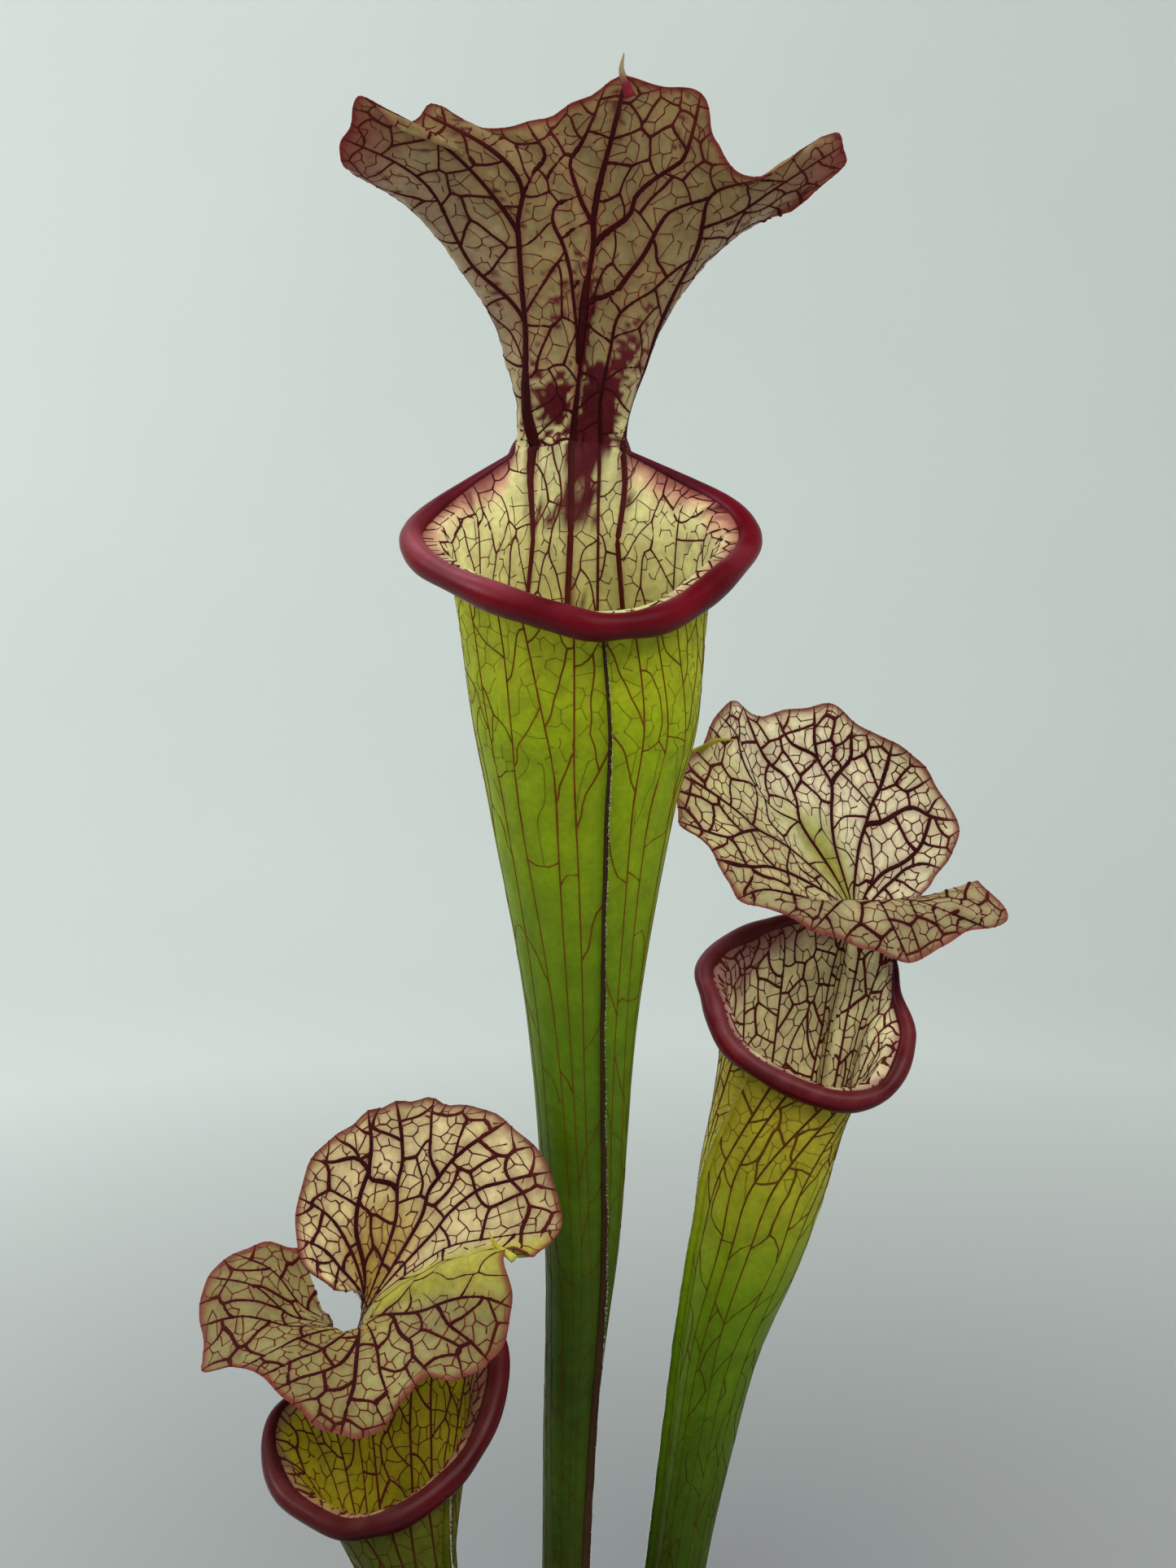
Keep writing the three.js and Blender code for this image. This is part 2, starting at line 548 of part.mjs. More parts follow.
function potSolid() {
  const bandLow = POT_HEIGHT - POT_BAND_HEIGHT;
  const ringInner = POT_FOOT_RADIUS - POT_FOOT_RING;
  const rimShoulder = POT_HEIGHT - POT_CHAMFER;
  const profile = [
    [0, POT_RECESS],
    [ringInner - POT_CHAMFER, POT_RECESS],
    [ringInner, 0],
    [POT_FOOT_RADIUS - POT_CHAMFER, 0],
    [POT_FOOT_RADIUS, POT_CHAMFER],
    [potBore(bandLow) + POT_WALL, bandLow],
    [POT_RIM_RADIUS - POT_CHAMFER, bandLow],
    [POT_RIM_RADIUS, rimShoulder],
    [POT_RIM_RADIUS - POT_CHAMFER, POT_HEIGHT],
    [potBore(POT_HEIGHT) + POT_CHAMFER, POT_HEIGHT],
    [potBore(rimShoulder), rimShoulder],
    [potBore(POT_FLOOR), POT_FLOOR],
    [0, POT_FLOOR],
  ];
  const drains = [];
  for (let k = 0; k < DRAIN_COUNT; k += 1) {
    const a = (2 * Math.PI * k) / DRAIN_COUNT;
    const x = DRAIN_RING_RADIUS * Math.cos(a);
    const y = DRAIN_RING_RADIUS * Math.sin(a);
    const low = [x, y, POT_RECESS - 1, DRAIN_RADIUS];
    const high = [x, y, POT_FLOOR + 1, DRAIN_RADIUS];
    drains.push(sweptSolid([low, high], DRAIN_SIDES, 0, 1));
  }
  return drains.reduce((pot, drain) => pot.subtract(drain), turnedSolid(profile, POT_SIDES));
}

// Height of the peat's uneven surface over its mean.
function peatRelief(x, y, z) {
  if (z < SOIL_TOP - 1) {
    return 0;
  }
  const waves = Math.sin(x * 0.13 + 1) * Math.cos(y * 0.16) + 0.6 * Math.sin(x * 0.31 - y * 0.27);
  return SOIL_RELIEF * waves;
}

function peatSolid() {
  const low = POT_FLOOR + FIT_GAP;
  const topRadius = potBore(SOIL_TOP) - FIT_GAP;
  const profile = [[0, low], [potBore(low) - FIT_GAP, low]];
  for (let i = SOIL_RINGS; i > 0; i -= 1) {
    profile.push([(topRadius * i) / SOIL_RINGS, SOIL_TOP]);
  }
  profile.push([0, SOIL_TOP]);
  const hollow = rhizomeSolid(FIT_GAP);
  return turnedSolid(profile, POT_SIDES, peatRelief).subtract(hollow).subtract(feet(FIT_GAP));
}

// Rhizome with its roots, grown all round by grow.
function rhizomeSolid(grow) {
  const line = RHIZOME_LINE.map(([x, y, z, part]) => [x, y, z, part * RHIZOME_RADIUS]);
  const body = sweptSolid(line, RHIZOME_SIDES, grow, RHIZOME_CELLS);
  return ROOTS.reduce((whole, root) => {
    const taper = root.map((p, i) => [...p, ROOT_RADIUS * (1 - ROOT_TAPER * i)]);
    return whole.add(sweptSolid(taper, ROOT_SIDES, grow, ROOT_CELLS));
  }, body);
}

// Feet of the three leaves as solids up to their second station, grown by grow.
function feet(grow) {
  return [TALL, RIGHT, LEFT].map((leaf) => {
    const points = [];
    const faces = [];
    const columns = [];
    for (let k = 0; k < FOOT_SIDES; k += 1) {
      columns.push(tubeColumn(leaf, (360 * k) / FOOT_SIDES));
    }
    const rings = FOOT_RINGS.map((q) => {
      const ring = columns.map((rows) => alongPoints(rows, q));
      const middle = ring.reduce((sum, p) => sum.add(p), new THREE.Vector3());
      middle.divideScalar(FOOT_SIDES);
      return ring.map((p) => {
        const outwards = p.clone().sub(middle).normalize();
        outwards.multiplyScalar(grow + TUBE_HALF_WALL);
        outwards.z -= q === 0 ? grow : 0;
        return points.push(p.add(outwards)) - 1;
      });
    });
    rings.slice(1).forEach((ring, i) => bridge(faces, rings[i], ring));
    closeRing(points, faces, rings[0], true);
    closeRing(points, faces, rings[rings.length - 1], false);
    return toManifold(points, faces);
  }).reduce((a, b) => a.add(b));
}

// Named mesh of a finished solid.
function mesh(name, solid, color, roughness) {
  const { vertProperties, triVerts, numProp } = solid.getMesh();
  const geometry = new THREE.BufferGeometry();
  const positions = [];
  for (let i = 0; i < vertProperties.length; i += numProp) {
    positions.push(vertProperties[i], vertProperties[i + 1], vertProperties[i + 2]);
  }
  geometry.setAttribute('position', new THREE.Float32BufferAttribute(positions, 3));
  geometry.setIndex([...triVerts]);
  geometry.computeVertexNormals();
  const material = new THREE.MeshStandardMaterial({ color, roughness, metalness: 0 });
  const result = new THREE.Mesh(geometry, material);
  result.name = name;
  return result;
}

const plant = new THREE.Group();
plant.name = 'potted_pitcher_plant';
plant.add(
  mesh('pot', potSolid(), POT_COLOR, 0.6),
  mesh('growing_medium', peatSolid(), PEAT_COLOR, 0.95),
  mesh('rhizome', rhizomeSolid(0).subtract(feet(FIT_GAP)), RHIZOME_COLOR, 0.85),
  mesh('pitcher_tall', leafSolid(TALL), LEAF_COLOR, 0.45),
  mesh('pitcher_right', leafSolid(RIGHT), LEAF_COLOR, 0.45),
  mesh('pitcher_left', leafSolid(LEFT), LEAF_COLOR, 0.45),
);

export default plant;
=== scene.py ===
# %% [markdown]
# # A potted pitcher plant
#
# The plant has three trumpet leaves that grew from one rhizome: a tall one and two
# short ones. Each leaf is a hollow tube with a rolled crimson lip, a narrow column
# behind the mouth and a waved hood above it, netted with dark veins. The pot, the peat
# and the rhizome below the picture's edge are finished in the same way.
#
# The first step opens the plain solid model and takes its parts out of their parents,
# where they stand. Nothing that is added may change the size of the plant.

import math

import bpy
import numpy as np
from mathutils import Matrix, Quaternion, Vector
from mathutils.kdtree import KDTree


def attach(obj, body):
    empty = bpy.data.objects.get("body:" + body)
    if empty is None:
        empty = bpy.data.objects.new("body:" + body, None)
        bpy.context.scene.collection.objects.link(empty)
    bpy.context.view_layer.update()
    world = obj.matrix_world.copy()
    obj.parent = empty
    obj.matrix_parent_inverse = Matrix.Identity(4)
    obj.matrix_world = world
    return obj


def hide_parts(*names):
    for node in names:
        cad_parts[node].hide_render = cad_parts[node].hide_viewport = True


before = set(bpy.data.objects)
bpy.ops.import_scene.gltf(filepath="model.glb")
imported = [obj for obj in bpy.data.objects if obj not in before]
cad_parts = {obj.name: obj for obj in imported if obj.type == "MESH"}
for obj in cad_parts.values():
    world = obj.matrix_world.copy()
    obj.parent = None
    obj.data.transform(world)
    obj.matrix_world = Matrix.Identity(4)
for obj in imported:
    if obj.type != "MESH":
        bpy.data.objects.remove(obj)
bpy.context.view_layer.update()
print("nodes:", sorted(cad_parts))

# %% Measures shared by every step
MM = 0.001
TUBE_HALF_WALL = 0.42
BLADE_HALF_WALL = 0.38
MARGIN_HALF_WALL = 0.16
SOIL_TOP = 124.0
FRONT = 180.0
FOOT_DEPTH = 120.5
POT_RADIUS_AT_SOIL = 72.9

# %% [markdown]
# ## Camera
#
# The photograph looks slightly down on the leaves from about 40 cm, so the camera is
# pitched 8 degrees down. A 54 mm lens on a 36 mm sensor, which Blender puts along the
# long side of the picture, gives the same spread of the leaves.

# %% Camera
CAMERA_PLACE = (0.0, -0.402, 0.4225)
CAMERA_PITCH = 8.0
CAMERA_LENS = 54.1


def set_camera():
    """Camera at the photograph's place and angle."""
    data = bpy.data.cameras.new("photo_camera")
    data.lens = CAMERA_LENS
    data.sensor_width = 36.0
    data.clip_start = 0.01
    camera = bpy.data.objects.new("photo_camera", data)
    bpy.context.scene.collection.objects.link(camera)
    camera.location = CAMERA_PLACE
    camera.rotation_euler = (math.radians(90.0 - CAMERA_PITCH), 0.0, 0.0)
    bpy.context.scene.camera = camera


set_camera()
print("camera at", CAMERA_PLACE)

# %% [markdown]
# ## Finishes as recipes
#
# A material is a small graph of nodes. This helper adds nodes, fills their inputs and
# joins them to the surface shader, so that each finish below reads as a short recipe.

# %% Helper for finishes
class Finish:
    """One material, its surface shader and the place on the plant, in metres."""

    def __init__(self, name):
        self.material = bpy.data.materials.new(name)
        self.material.use_nodes = True
        self.tree = self.material.node_tree
        self.shader = self.tree.nodes["Principled BSDF"]
        self.place = self.node("TexCoord").outputs["Object"]

    def put(self, socket, value):
        """Links a socket, or sets a plain value."""
        if isinstance(value, bpy.types.NodeSocket):
            self.tree.links.new(value, socket)
        elif isinstance(value, tuple) and len(value) == 3 and socket.type == "RGBA":
            socket.default_value = (*value, 1.0)
        else:
            socket.default_value = value

    def node(self, kind, inputs=None, **settings):
        """Node of a kind, with its settings made and its inputs filled."""
        made = self.tree.nodes.new("ShaderNode" + kind)
        for key, value in settings.items():
            setattr(made, key, value)
        for key, value in (inputs or {}).items():
            self.put(made.inputs[key], value)
        return made

    def drawn(self, x, y, z):
        """The place squeezed by factors, which draws a pattern out."""
        return self.node("Mapping", {"Vector": self.place, "Scale": (x, y, z)}).outputs["Vector"]

    def noise(self, scale, detail=3.0, roughness=0.55, place=None):
        """Soft irregular value from 0 to 1."""
        inputs = {"Vector": place or self.place, "Scale": scale, "Detail": detail,
                  "Roughness": roughness}
        return self.node("TexNoise", inputs).outputs["Fac"]

    def ramp(self, value, low, high, start=0.0, end=1.0):
        """Value between low and high stretched to start and end, and kept between them."""
        inputs = {"Value": value, "From Min": low, "From Max": high, "To Min": start, "To Max": end}
        return self.node("MapRange", inputs).outputs["Result"]

    def uneven(self, scale, start, end, detail=3.0):
        """Irregular value that wanders between start and end."""
        return self.ramp(self.noise(scale, detail), 0.3, 0.7, start, end)

    def mix(self, share, first, second, blend="MIX"):
        """Two colours mixed by a share."""
        made = self.node("Mix", {0: share, 6: first, 7: second}, data_type="RGBA", blend_type=blend)
        return made.outputs[2]

    def shade(self, colour, value):
        """A colour times a value."""
        return self.mix(1.0, colour, value, "MULTIPLY")

    def times(self, first, second):
        """Product of two values."""
        return self.node("Math", {0: first, 1: second}, operation="MULTIPLY").outputs[0]

    def painted(self, name, output):
        """A colour or mask that is painted on the mesh."""
        return self.node("Attribute", attribute_name=name).outputs[output]

    def bump(self, height, distance, strength=1.0, under=None):
        """Small relief from a height value, laid over another relief if one is given."""
        inputs = {"Height": height, "Distance": distance, "Strength": strength}
        if under is not None:
            inputs["Normal"] = under
        return self.node("Bump", inputs).outputs["Normal"]

    def surface(self, colour, roughness, relief=None, **more):
        """Fills the shader's inputs and gives the finished material."""
        inputs = {"Base Color": colour, "Roughness": roughness, "Normal": relief}
        inputs.update((key.replace("_", " "), value) for key, value in more.items())
        for key, value in inputs.items():
            if value is not None:
                self.put(self.shader.inputs[key], value)
        return self.material


# %% [markdown]
# ## Studio
#
# The photograph has a plain pale ground that falls to grey at the foot. A floor that
# bends up all round into a wall gives every view the same plain ground without a corner,
# and its paint is darker round the plant as painted shade. A broad panel in front gives
# the main light, two smaller ones at the sides open up the hoods, a fourth lights the
# wall, and a dim even sky fills the shadows.

# %% Floor and wall
FLOOR_RADIUS = 1.5
BEND_RADIUS = 0.9
BEND_STEPS = 12
WALL_HEIGHT = 2.9
FLOOR_DROP = 0.0005
STUDIO_STEPS = 96
# Centre of the painted shade on the floor, in metres.
PAINTED_SHADE_CENTRE = (0.05, 0.45, 0.0)


def studio_finish():
    """Pale matt paint with painted shade on the floor round the plant, and a faint uneven tone."""
    f = Finish("studio_paint")
    far = f.node("VectorMath", {0: f.place, 1: PAINTED_SHADE_CENTRE}, operation="DISTANCE").outputs["Value"]
    # Painted shade: dark grey paint near the plant, pale paint from 0.8 m out.
    tone = f.mix(f.ramp(far, 0.0, 0.8), (0.29, 0.295, 0.308), (0.735, 0.77, 0.75))
    tone = f.shade(tone, f.uneven(1.1, 0.97, 1.03))
    return f.surface(tone, 0.9, Specular_IOR_Level=0.15)


def take_in(name, data):
    """New object in the scene, the only one that is selected."""
    piece = bpy.data.objects.new(name, data)
    bpy.context.scene.collection.objects.link(piece)
    bpy.ops.object.select_all(action="DESELECT")
    bpy.context.view_layer.objects.active = piece
    piece.select_set(True)
    return piece


def spin_outline(name, outline, steps, weld, inside=False):
    """Body spun about Z from a list of radius and height in metres."""
    data = bpy.data.meshes.new(name)
    data.from_pydata([(r, 0.0, z) for r, z in outline],
                     [(i, i + 1) for i in range(len(outline) - 1)], [])
    piece = take_in(name, data)
    bpy.ops.object.mode_set(mode="EDIT")
    bpy.ops.mesh.select_all(action="SELECT")
    bpy.ops.mesh.spin(steps=steps, angle=2 * math.pi, center=(0, 0, 0), axis=(0, 0, 1))
    bpy.ops.mesh.select_all(action="SELECT")
    bpy.ops.mesh.remove_doubles(threshold=weld)
    bpy.ops.mesh.normals_make_consistent(inside=inside)
    bpy.ops.object.mode_set(mode="OBJECT")
    return piece


def studio():
    """Floor that bends up into a round wall."""
    outline = [(0.0, 0.0), (FLOOR_RADIUS, 0.0)]
    for step in range(1, BEND_STEPS + 1):
        turn = math.radians(90.0 * step / BEND_STEPS)
        outline.append((FLOOR_RADIUS + BEND_RADIUS * math.sin(turn),
                        BEND_RADIUS * (1.0 - math.cos(turn))))
    outline.append((FLOOR_RADIUS + BEND_RADIUS, WALL_HEIGHT))
    piece = spin_outline("studio", [(r, z - FLOOR_DROP) for r, z in outline], STUDIO_STEPS,
                         weld=0.0001, inside=True)
    bpy.ops.object.shade_smooth()
    piece.data.materials.append(studio_finish())
    print("studio faces:", len(piece.data.polygons))


studio()

# %% Lights
LIGHT_DISTANCE = 1.25
LIGHT_AIM = (0.0, 0.0, 0.33)
FRONT_LIGHT = (10.0, 47.0, 0.9, 7.5, (1.0, 0.98, 0.94))
RIGHT_LIGHT = (50.0, 42.0, 0.6, 4.9, (1.0, 0.99, 0.96))
LEFT_LIGHT = (-82.0, 26.0, 0.5, 4.6, (0.95, 0.98, 1.0))
WALL_POWER = 23.0
SKY = (0.80, 0.86, 0.88)
SKY_STRENGTH = 0.22


def panel(name, place, aim, size, power, colour):
    """Soft square light that the camera doesn't see."""
    data = bpy.data.lights.new(name, "AREA")
    data.size = size
    data.energy = power
    data.color = colour
    lamp = bpy.data.objects.new(name, data)
    bpy.context.scene.collection.objects.link(lamp)
    lamp.location = place
    direction = Vector(aim) - Vector(place)
    lamp.rotation_euler = direction.to_track_quat("-Z", "Y").to_euler()
    lamp.visible_camera = False


def panel_around(name, azimuth, height, size, power, colour):
    """Panel at a direction round the plant: 0 is the camera's side, more is to the right."""
    turn, rise = math.radians(azimuth), math.radians(height)
    way = Vector((math.sin(turn) * math.cos(rise), -math.cos(turn) * math.cos(rise), math.sin(rise)))
    panel(name, Vector(LIGHT_AIM) + way * LIGHT_DISTANCE, LIGHT_AIM, size, power, colour)


def studio_lights():
    """Light from the front, both sides, on the wall, and an even sky."""
    panel_around("front_light", *FRONT_LIGHT)
    panel_around("right_light", *RIGHT_LIGHT)
    panel_around("left_light", *LEFT_LIGHT)
    panel("wall_light", (-0.85, 0.7, 1.9), (-0.85, 2.4, 0.6), 1.2, WALL_POWER, (0.97, 1.0, 0.98))
    world = bpy.data.worlds.new("even_sky")
    bpy.context.scene.world = world
    world.use_nodes = True
    sky = world.node_tree.nodes["Background"]
    sky.inputs["Color"].default_value = (*SKY, 1.0)
    sky.inputs["Strength"].default_value = SKY_STRENGTH
    bpy.context.scene.view_settings.view_transform = "Standard"


studio_lights()

# %% [markdown]
# ## The form of a leaf
#
# A leaf is one thin sheet. Its tube passes through a few elliptical stations from the
# foot to the throat, then through a flare to the line of the lip. Behind the mouth the
# same sheet goes on as ribs that fan out from the column to the margin of the hood. The
# solid model is made from these very measures, but for the tip of the right horn, which
# bends further here. In this lesson the sheet is read far more finely.

# %% Measures of the leaves, in millimetres
def points_of(text):
    """Points as lists of numbers, from text with a comma between points."""
    return [[float(v) for v in point.split()] for point in text.split(",")]


# A station is x, y, height, half width, half depth and the turn of its front in degrees.
# A rim point is the angle round the mouth and x, y, height. A rib runs from the lip to the
# margin.
TALL = {
    "name": "pitcher_tall",
    "stations": points_of(f"""
        -6 5 {FOOT_DEPTH} 3.6 4.2 60, -6 5 140 2.6 3.8 60, -5.5 4.5 180 2.5 3.6 60,
        -4.5 4 221.5 2.7 3.6 58, -3.5 3.5 246 3.8 4.4 50, -2 3 268.5 5 5.4 41,
        -1 2.5 286 6.3 6.6 30, -1 1.5 325 9.3 9.4 20, -1 0 361 15.4 14.8 15, -0.5 -1 378 19 18 13
    """),
    "column": [38, 322],
    "wing": 1.6,
    "bead": 2.4,
    "flare": {"scale": 0.8, "drop": 13},
    "rim": points_of("""
        38 -13.5 18 422, 58 -21 13 417, 78 -28.5 5 411, 90 -30 0 408, 112 -26 -8 404,
        140 -15.5 -19 400, 166 -3 -26 396.5, 180 3 -27 395.5, 212 13.5 -20 397, 243 23 -9 403,
        268 27.5 0 408, 284 25.5 6 412.5, 301 19 12 416.5, 322 7 18.5 422.5, 342 3 21.5 423.5,
        360 -3 22.5 424, 378 -9 21.5 423.5
    """),
    "ribs": [points_of(rib) for rib in """
        -10.5 25 429, -12.5 27 443.5, -19 26 455, -29 20 464, -39.5 12 470;
        -13 20 429.5, -16 21 444.5, -23.5 18 456, -31.5 12 465.5, -41.5 6 471.5;
        -11 17 430, -11.5 17 445, -17.5 14 458, -26.5 8 469, -41.5 0 477;
        -8 17 430, -8.5 15 446, -13 12 460, -20.5 6 471, -36 -2 480;
        -6 18 430.5, -6 15 446.5, -10 12 460.5, -17 7 470.5, -32 0 476;
        -4.5 19 430.5, -3.5 15 447, -6 12 461.5, -12 8 471, -25.5 3 479.5;
        -3.5 20 430.5, -2 16 447, -3.5 13 462, -7.5 10 472, -16.5 6 476.5;
        -3 20.5 430.5, -1 16 447, -1 13 462, -2.5 11 473, -6 8 479.5;
        -2 20.5 430.5, 0.5 17 447.5, 2.5 14 462.5, 4.5 10 475, 6.5 5 485;
        -0.5 20 430.5, 2 16 447, 6 13 462, 10 9 472.5, 14 4 483.5;
        0.5 19.5 430.5, 4 15 447, 8.5 12 461, 14 8 471, 19.5 3 480.5;
        2 18.5 430.5, 5.5 15 446.5, 11.5 12 460, 17.5 9 468, 23 5 472;
        4 17.5 430.5, 7.5 15 446, 14 13 459, 20.5 10 466, 27.5 5 469;
        5.5 17 430, 9.5 16 445, 16 14 458, 24 10 465.5, 35.5 2 472.5;
        6.5 17.5 430, 11 18 444.5, 18.5 16 456.5, 27 11 464, 41.5 -2 475;
        7.5 20 429.5, 12.5 21 444, 20 19 455, 28.5 14 462, 43.5 3 470;
        5.5 25 429, 10.5 27 443.5, 18 27 454, 26 22 461, 35 12 463.5
    """.split(";")],
    "horn": {"base": [6.4, 5.4, 483.5], "tip": [6, 4, 488.5], "radius": 1},
}

RIGHT = {
    "name": "pitcher_right",
    "stations": points_of(f"""
        8 3 {FOOT_DEPTH} 3.6 4 -80, 8.5 4 140 2.6 3.8 -80, 11 7 175 2.9 4 -80,
        17 13 217.5 4.3 4.6 -80, 21 16 240.5 5.7 5.8 -80, 24.5 19 258 7.2 7.2 -78,
        29.5 22 275.5 10 10 -70, 33 24 290 11.6 11.6 -62
    """),
    "column": [22, 333],
    "wing": 1.4,
    "bead": 2,
    "flare": {"scale": 0.82, "drop": 10},
    "rim": points_of("""
        22 51 39 335.5, 35 46 36.5 335.5, 55 37 32.5 335.5, 90 25.5 27 332, 108 21.5 23 328.5,
        132 22.5 19.5 324, 170 26 14.5 316, 202 35.5 12 310, 232 46.5 12 306.5, 257 54.5 15.5 308,
        288 59 22.5 315.5, 313 57.5 27.5 322.5, 333 57.5 32.5 328, 349 54 35 330, 360 50.5 33 332,
        371 50 35 334
    """),
    "ribs": [points_of(rib) for rib in """
        55 38 337, 57 39 337.5, 59.5 40 337.5, 62 41 337;
        53.5 38 337.5, 58 41 341, 63 43 343, 68 42 343.5;
        52.5 38 338, 57 42 345, 63.5 45 347.5, 71 44 349.5;
        51.5 37 338, 55 42 349.5, 62 46 356, 69 46 356;
        50.5 36 338, 52 41 353, 57 46 359.5, 61.5 45 366;
        50 35 338, 48 38 355, 50 43 363.5, 52.5 42 370.5;
        49.5 34 338, 44.5 35 354.5, 43.5 39 365, 44.5 38 375.5;
        49.5 33 338, 41 31 354, 36 33 364, 32.5 31 374.5;
        49 32 338, 38.5 28 352, 30.5 27 362.5, 26 24 378;
        49 31 338, 37.5 25 350.5, 28.5 21 360, 20 17 370.5;
        49 30 337.5, 36.5 21 349.5, 26.5 16 357.5, 16.5 14 366.5;
        49.5 29 337.5, 35.5 18 347, 26 13 353.5, 16 12 357.5;
        49.5 28 337.5, 37 16 344.5, 28.5 11 349, 22.5 9 352;
        50 27 337, 39.5 17 342.5, 33 13 344.5, 26.5 10 344;
        51 27 338, 43.5 19 341.5, 38.5 15 342, 34.5 13 341;
        52 27 338.5, 48 20 341.5, 46.5 16 339, 47 15 335;
        53 28 338.5, 52.5 21 341, 54 17 337, 56.5 17 331;
        54 29 338.5, 56 22 341, 59 19 337.5, 62.5 20 331.5;
        55 31 338.5, 59.5 25 340.5, 64.5 22 339, 69.5 23 335.5;
        56 33 338, 61 27 340.5, 68.5 24 340, 77.5 26 337;
        56 36 337, 60.5 30 340, 66 29 341.5, 72.5 30 343.5
    """.split(";")],
    "horn": {"base": [20.5, 17.3, 370], "tip": [26.1, 12.3, 372.2], "radius": 0.8},
}

LEFT = {
    "name": "pitcher_left",
    "stations": points_of(f"""
        -17 -5 {FOOT_DEPTH} 3.4 3.8 75, -18 -7 140 2.7 3.6 75, -22 -13 175 3.6 4.2 75,
        -27 -21 210 5.8 6 70, -30 -24 232 7.5 7.5 60, -31.5 -24 240 9 9 54
    """),
    "column": [20, 330],
    "wing": 1.4,
    "bead": 2,
    "flare": {"scale": 0.82, "drop": 8},
    "rim": points_of("""
        20 -50 -11 261.5, 42 -54 -14.5 258, 58 -54.5 -19 254, 80 -51 -26.5 249.5,
        98 -44.5 -32 247.5, 112 -39.5 -34.5 247, 140 -31 -35 249.5, 172 -22.5 -31 254.5,
        197 -18 -26 259.5, 222 -15.5 -18.5 266, 245 -16.5 -11.5 271.5, 265 -21.5 -6.5 273.5,
        300 -32 -4 272, 330 -39 -5 267.5, 345 -41.5 -9 267, 360 -43 -12 265, 370 -46.5 -12 263.5
    """),
    "ribs": [points_of(rib) for rib in """
        -44.5 -11 272.5, -46.5 -10 275.5, -48.5 -8 279.5, -50.5 -5 284;
        -44 -13 273, -48.5 -13 276.5, -53 -12 282.5, -57 -10 286.5;
        -43.5 -15 273.5, -50 -17 277, -56 -18 282.5, -63.5 -16 285;
        -42.5 -17 274, -50.5 -21 276.5, -57.5 -23 279, -65.5 -21 277.5;
        -41.5 -18 274.5, -49.5 -25 276, -56 -27 275, -63.5 -26 270.5;
        -41 -19 274.5, -47.5 -27 275, -51.5 -31 275, -56.5 -31 273.5;
        -40 -20 275, -44.5 -29 274.5, -47.5 -34 273, -51.5 -35 271;
        -39.5 -20 275.5, -41.5 -30 273.5, -43 -36 271, -46 -38 268;
        -38.5 -21 276, -38.5 -31 273, -38.5 -37 269.5, -39.5 -38 264.5;
        -38 -21 276.5, -35.5 -31 274, -33.5 -37 270.5, -33 -38 266;
        -37.5 -21 276.5, -32.5 -30 275, -29 -35 273.5, -28 -37 272.5;
        -37 -20 277, -29 -30 277.5, -24 -34 276.5, -21 -36 273.5;
        -36.5 -19 277, -27 -29 280.5, -20.5 -33 280, -15 -34 276.5;
        -36.5 -18 277.5, -26 -27 283.5, -19 -31 285.5, -12.5 -31 284.5;
        -36 -17 278, -26.5 -25 287, -20 -28 290.5, -13 -27 292;
        -36.5 -15 278, -26.5 -19 285.5, -16.5 -22 290, -9 -21 290;
        -37 -13 277.5, -26 -15 286.5, -15.5 -17 291.5, -4.5 -16 293.5;
        -37 -12 277.5, -27 -11 290.5, -17 -13 297.5, -7.5 -13 303;
        -37.5 -11 277.5, -29.5 -8 293.5, -23 -9 302, -16 -8 309.5;
        -38 -10 277.5, -33.5 -5 295, -30 -5 303.5, -28 -4 311;
        -38.5 -9 277, -38 -4 293, -37.5 -2 302, -38.5 -1 308;
        -38.5 -9 277.5, -41.5 -4 288.5, -44.5 -2 296, -48.5 -1 299.5;
        -39 -9 277.5, -44 -5 284, -47.5 -4 288.5, -51.5 -3 290.5;
        -39 -9 277.5, -43 -7 280, -46 -6 281, -49.5 -7 282.5;
        -39 -9 277, -40.5 -8 278, -42 -8 278, -44 -9 278.5
    """.split(";")],
    "horn": {"base": [-13.5, -27, 291.5], "tip": [-16.5, -25, 294.5], "radius": 0.8},
}

# %% Smooth curves through given points
def hermite(keys, values, places):
    """Smooth curve through values at growing keys, read at some places."""
    keys = np.asarray(keys, float)
    values = np.asarray(values, float)
    slopes = np.empty_like(values)
    slopes[1:-1] = (values[2:] - values[:-2]) / (keys[2:] - keys[:-2])[:, None]
    slopes[0] = (values[1] - values[0]) / (keys[1] - keys[0])
    slopes[-1] = (values[-1] - values[-2]) / (keys[-1] - keys[-2])
    i = np.clip(np.searchsorted(keys, places, side="right") - 1, 0, len(keys) - 2)
    span = (keys[i + 1] - keys[i])[:, None]
    s = (np.asarray(places, float)[:, None] - keys[i][:, None]) / span
    rise = s * s * (3 - 2 * s)
    return (values[i] + (values[i + 1] - values[i]) * rise
            + span * s * (1 - s) ** 2 * slopes[i] - span * s * s * (1 - s) * slopes[i + 1])


def along(points, places):
    """Points at some places along a row of points; whole numbers are the points."""
    steps = np.linalg.norm(np.diff(points, axis=0), axis=1)
    keys = np.concatenate([[0.0], np.cumsum(np.sqrt(steps) + 0.01)])
    i = np.clip(np.floor(places).astype(int), 0, len(points) - 2)
    t = keys[i] + (places - i) * (keys[i + 1] - keys[i])
    return hermite(keys, points, t)


def smoothstep(value, low, high):
    """Rises softly from 0 at low to 1 at high."""
    s = np.clip((value - low) / (high - low), 0.0, 1.0)
    return s * s * (3 - 2 * s)


def unit(vectors):
    """Vectors of length one."""
    return vectors / np.maximum(np.linalg.norm(vectors, axis=-1, keepdims=True), 1e-9)


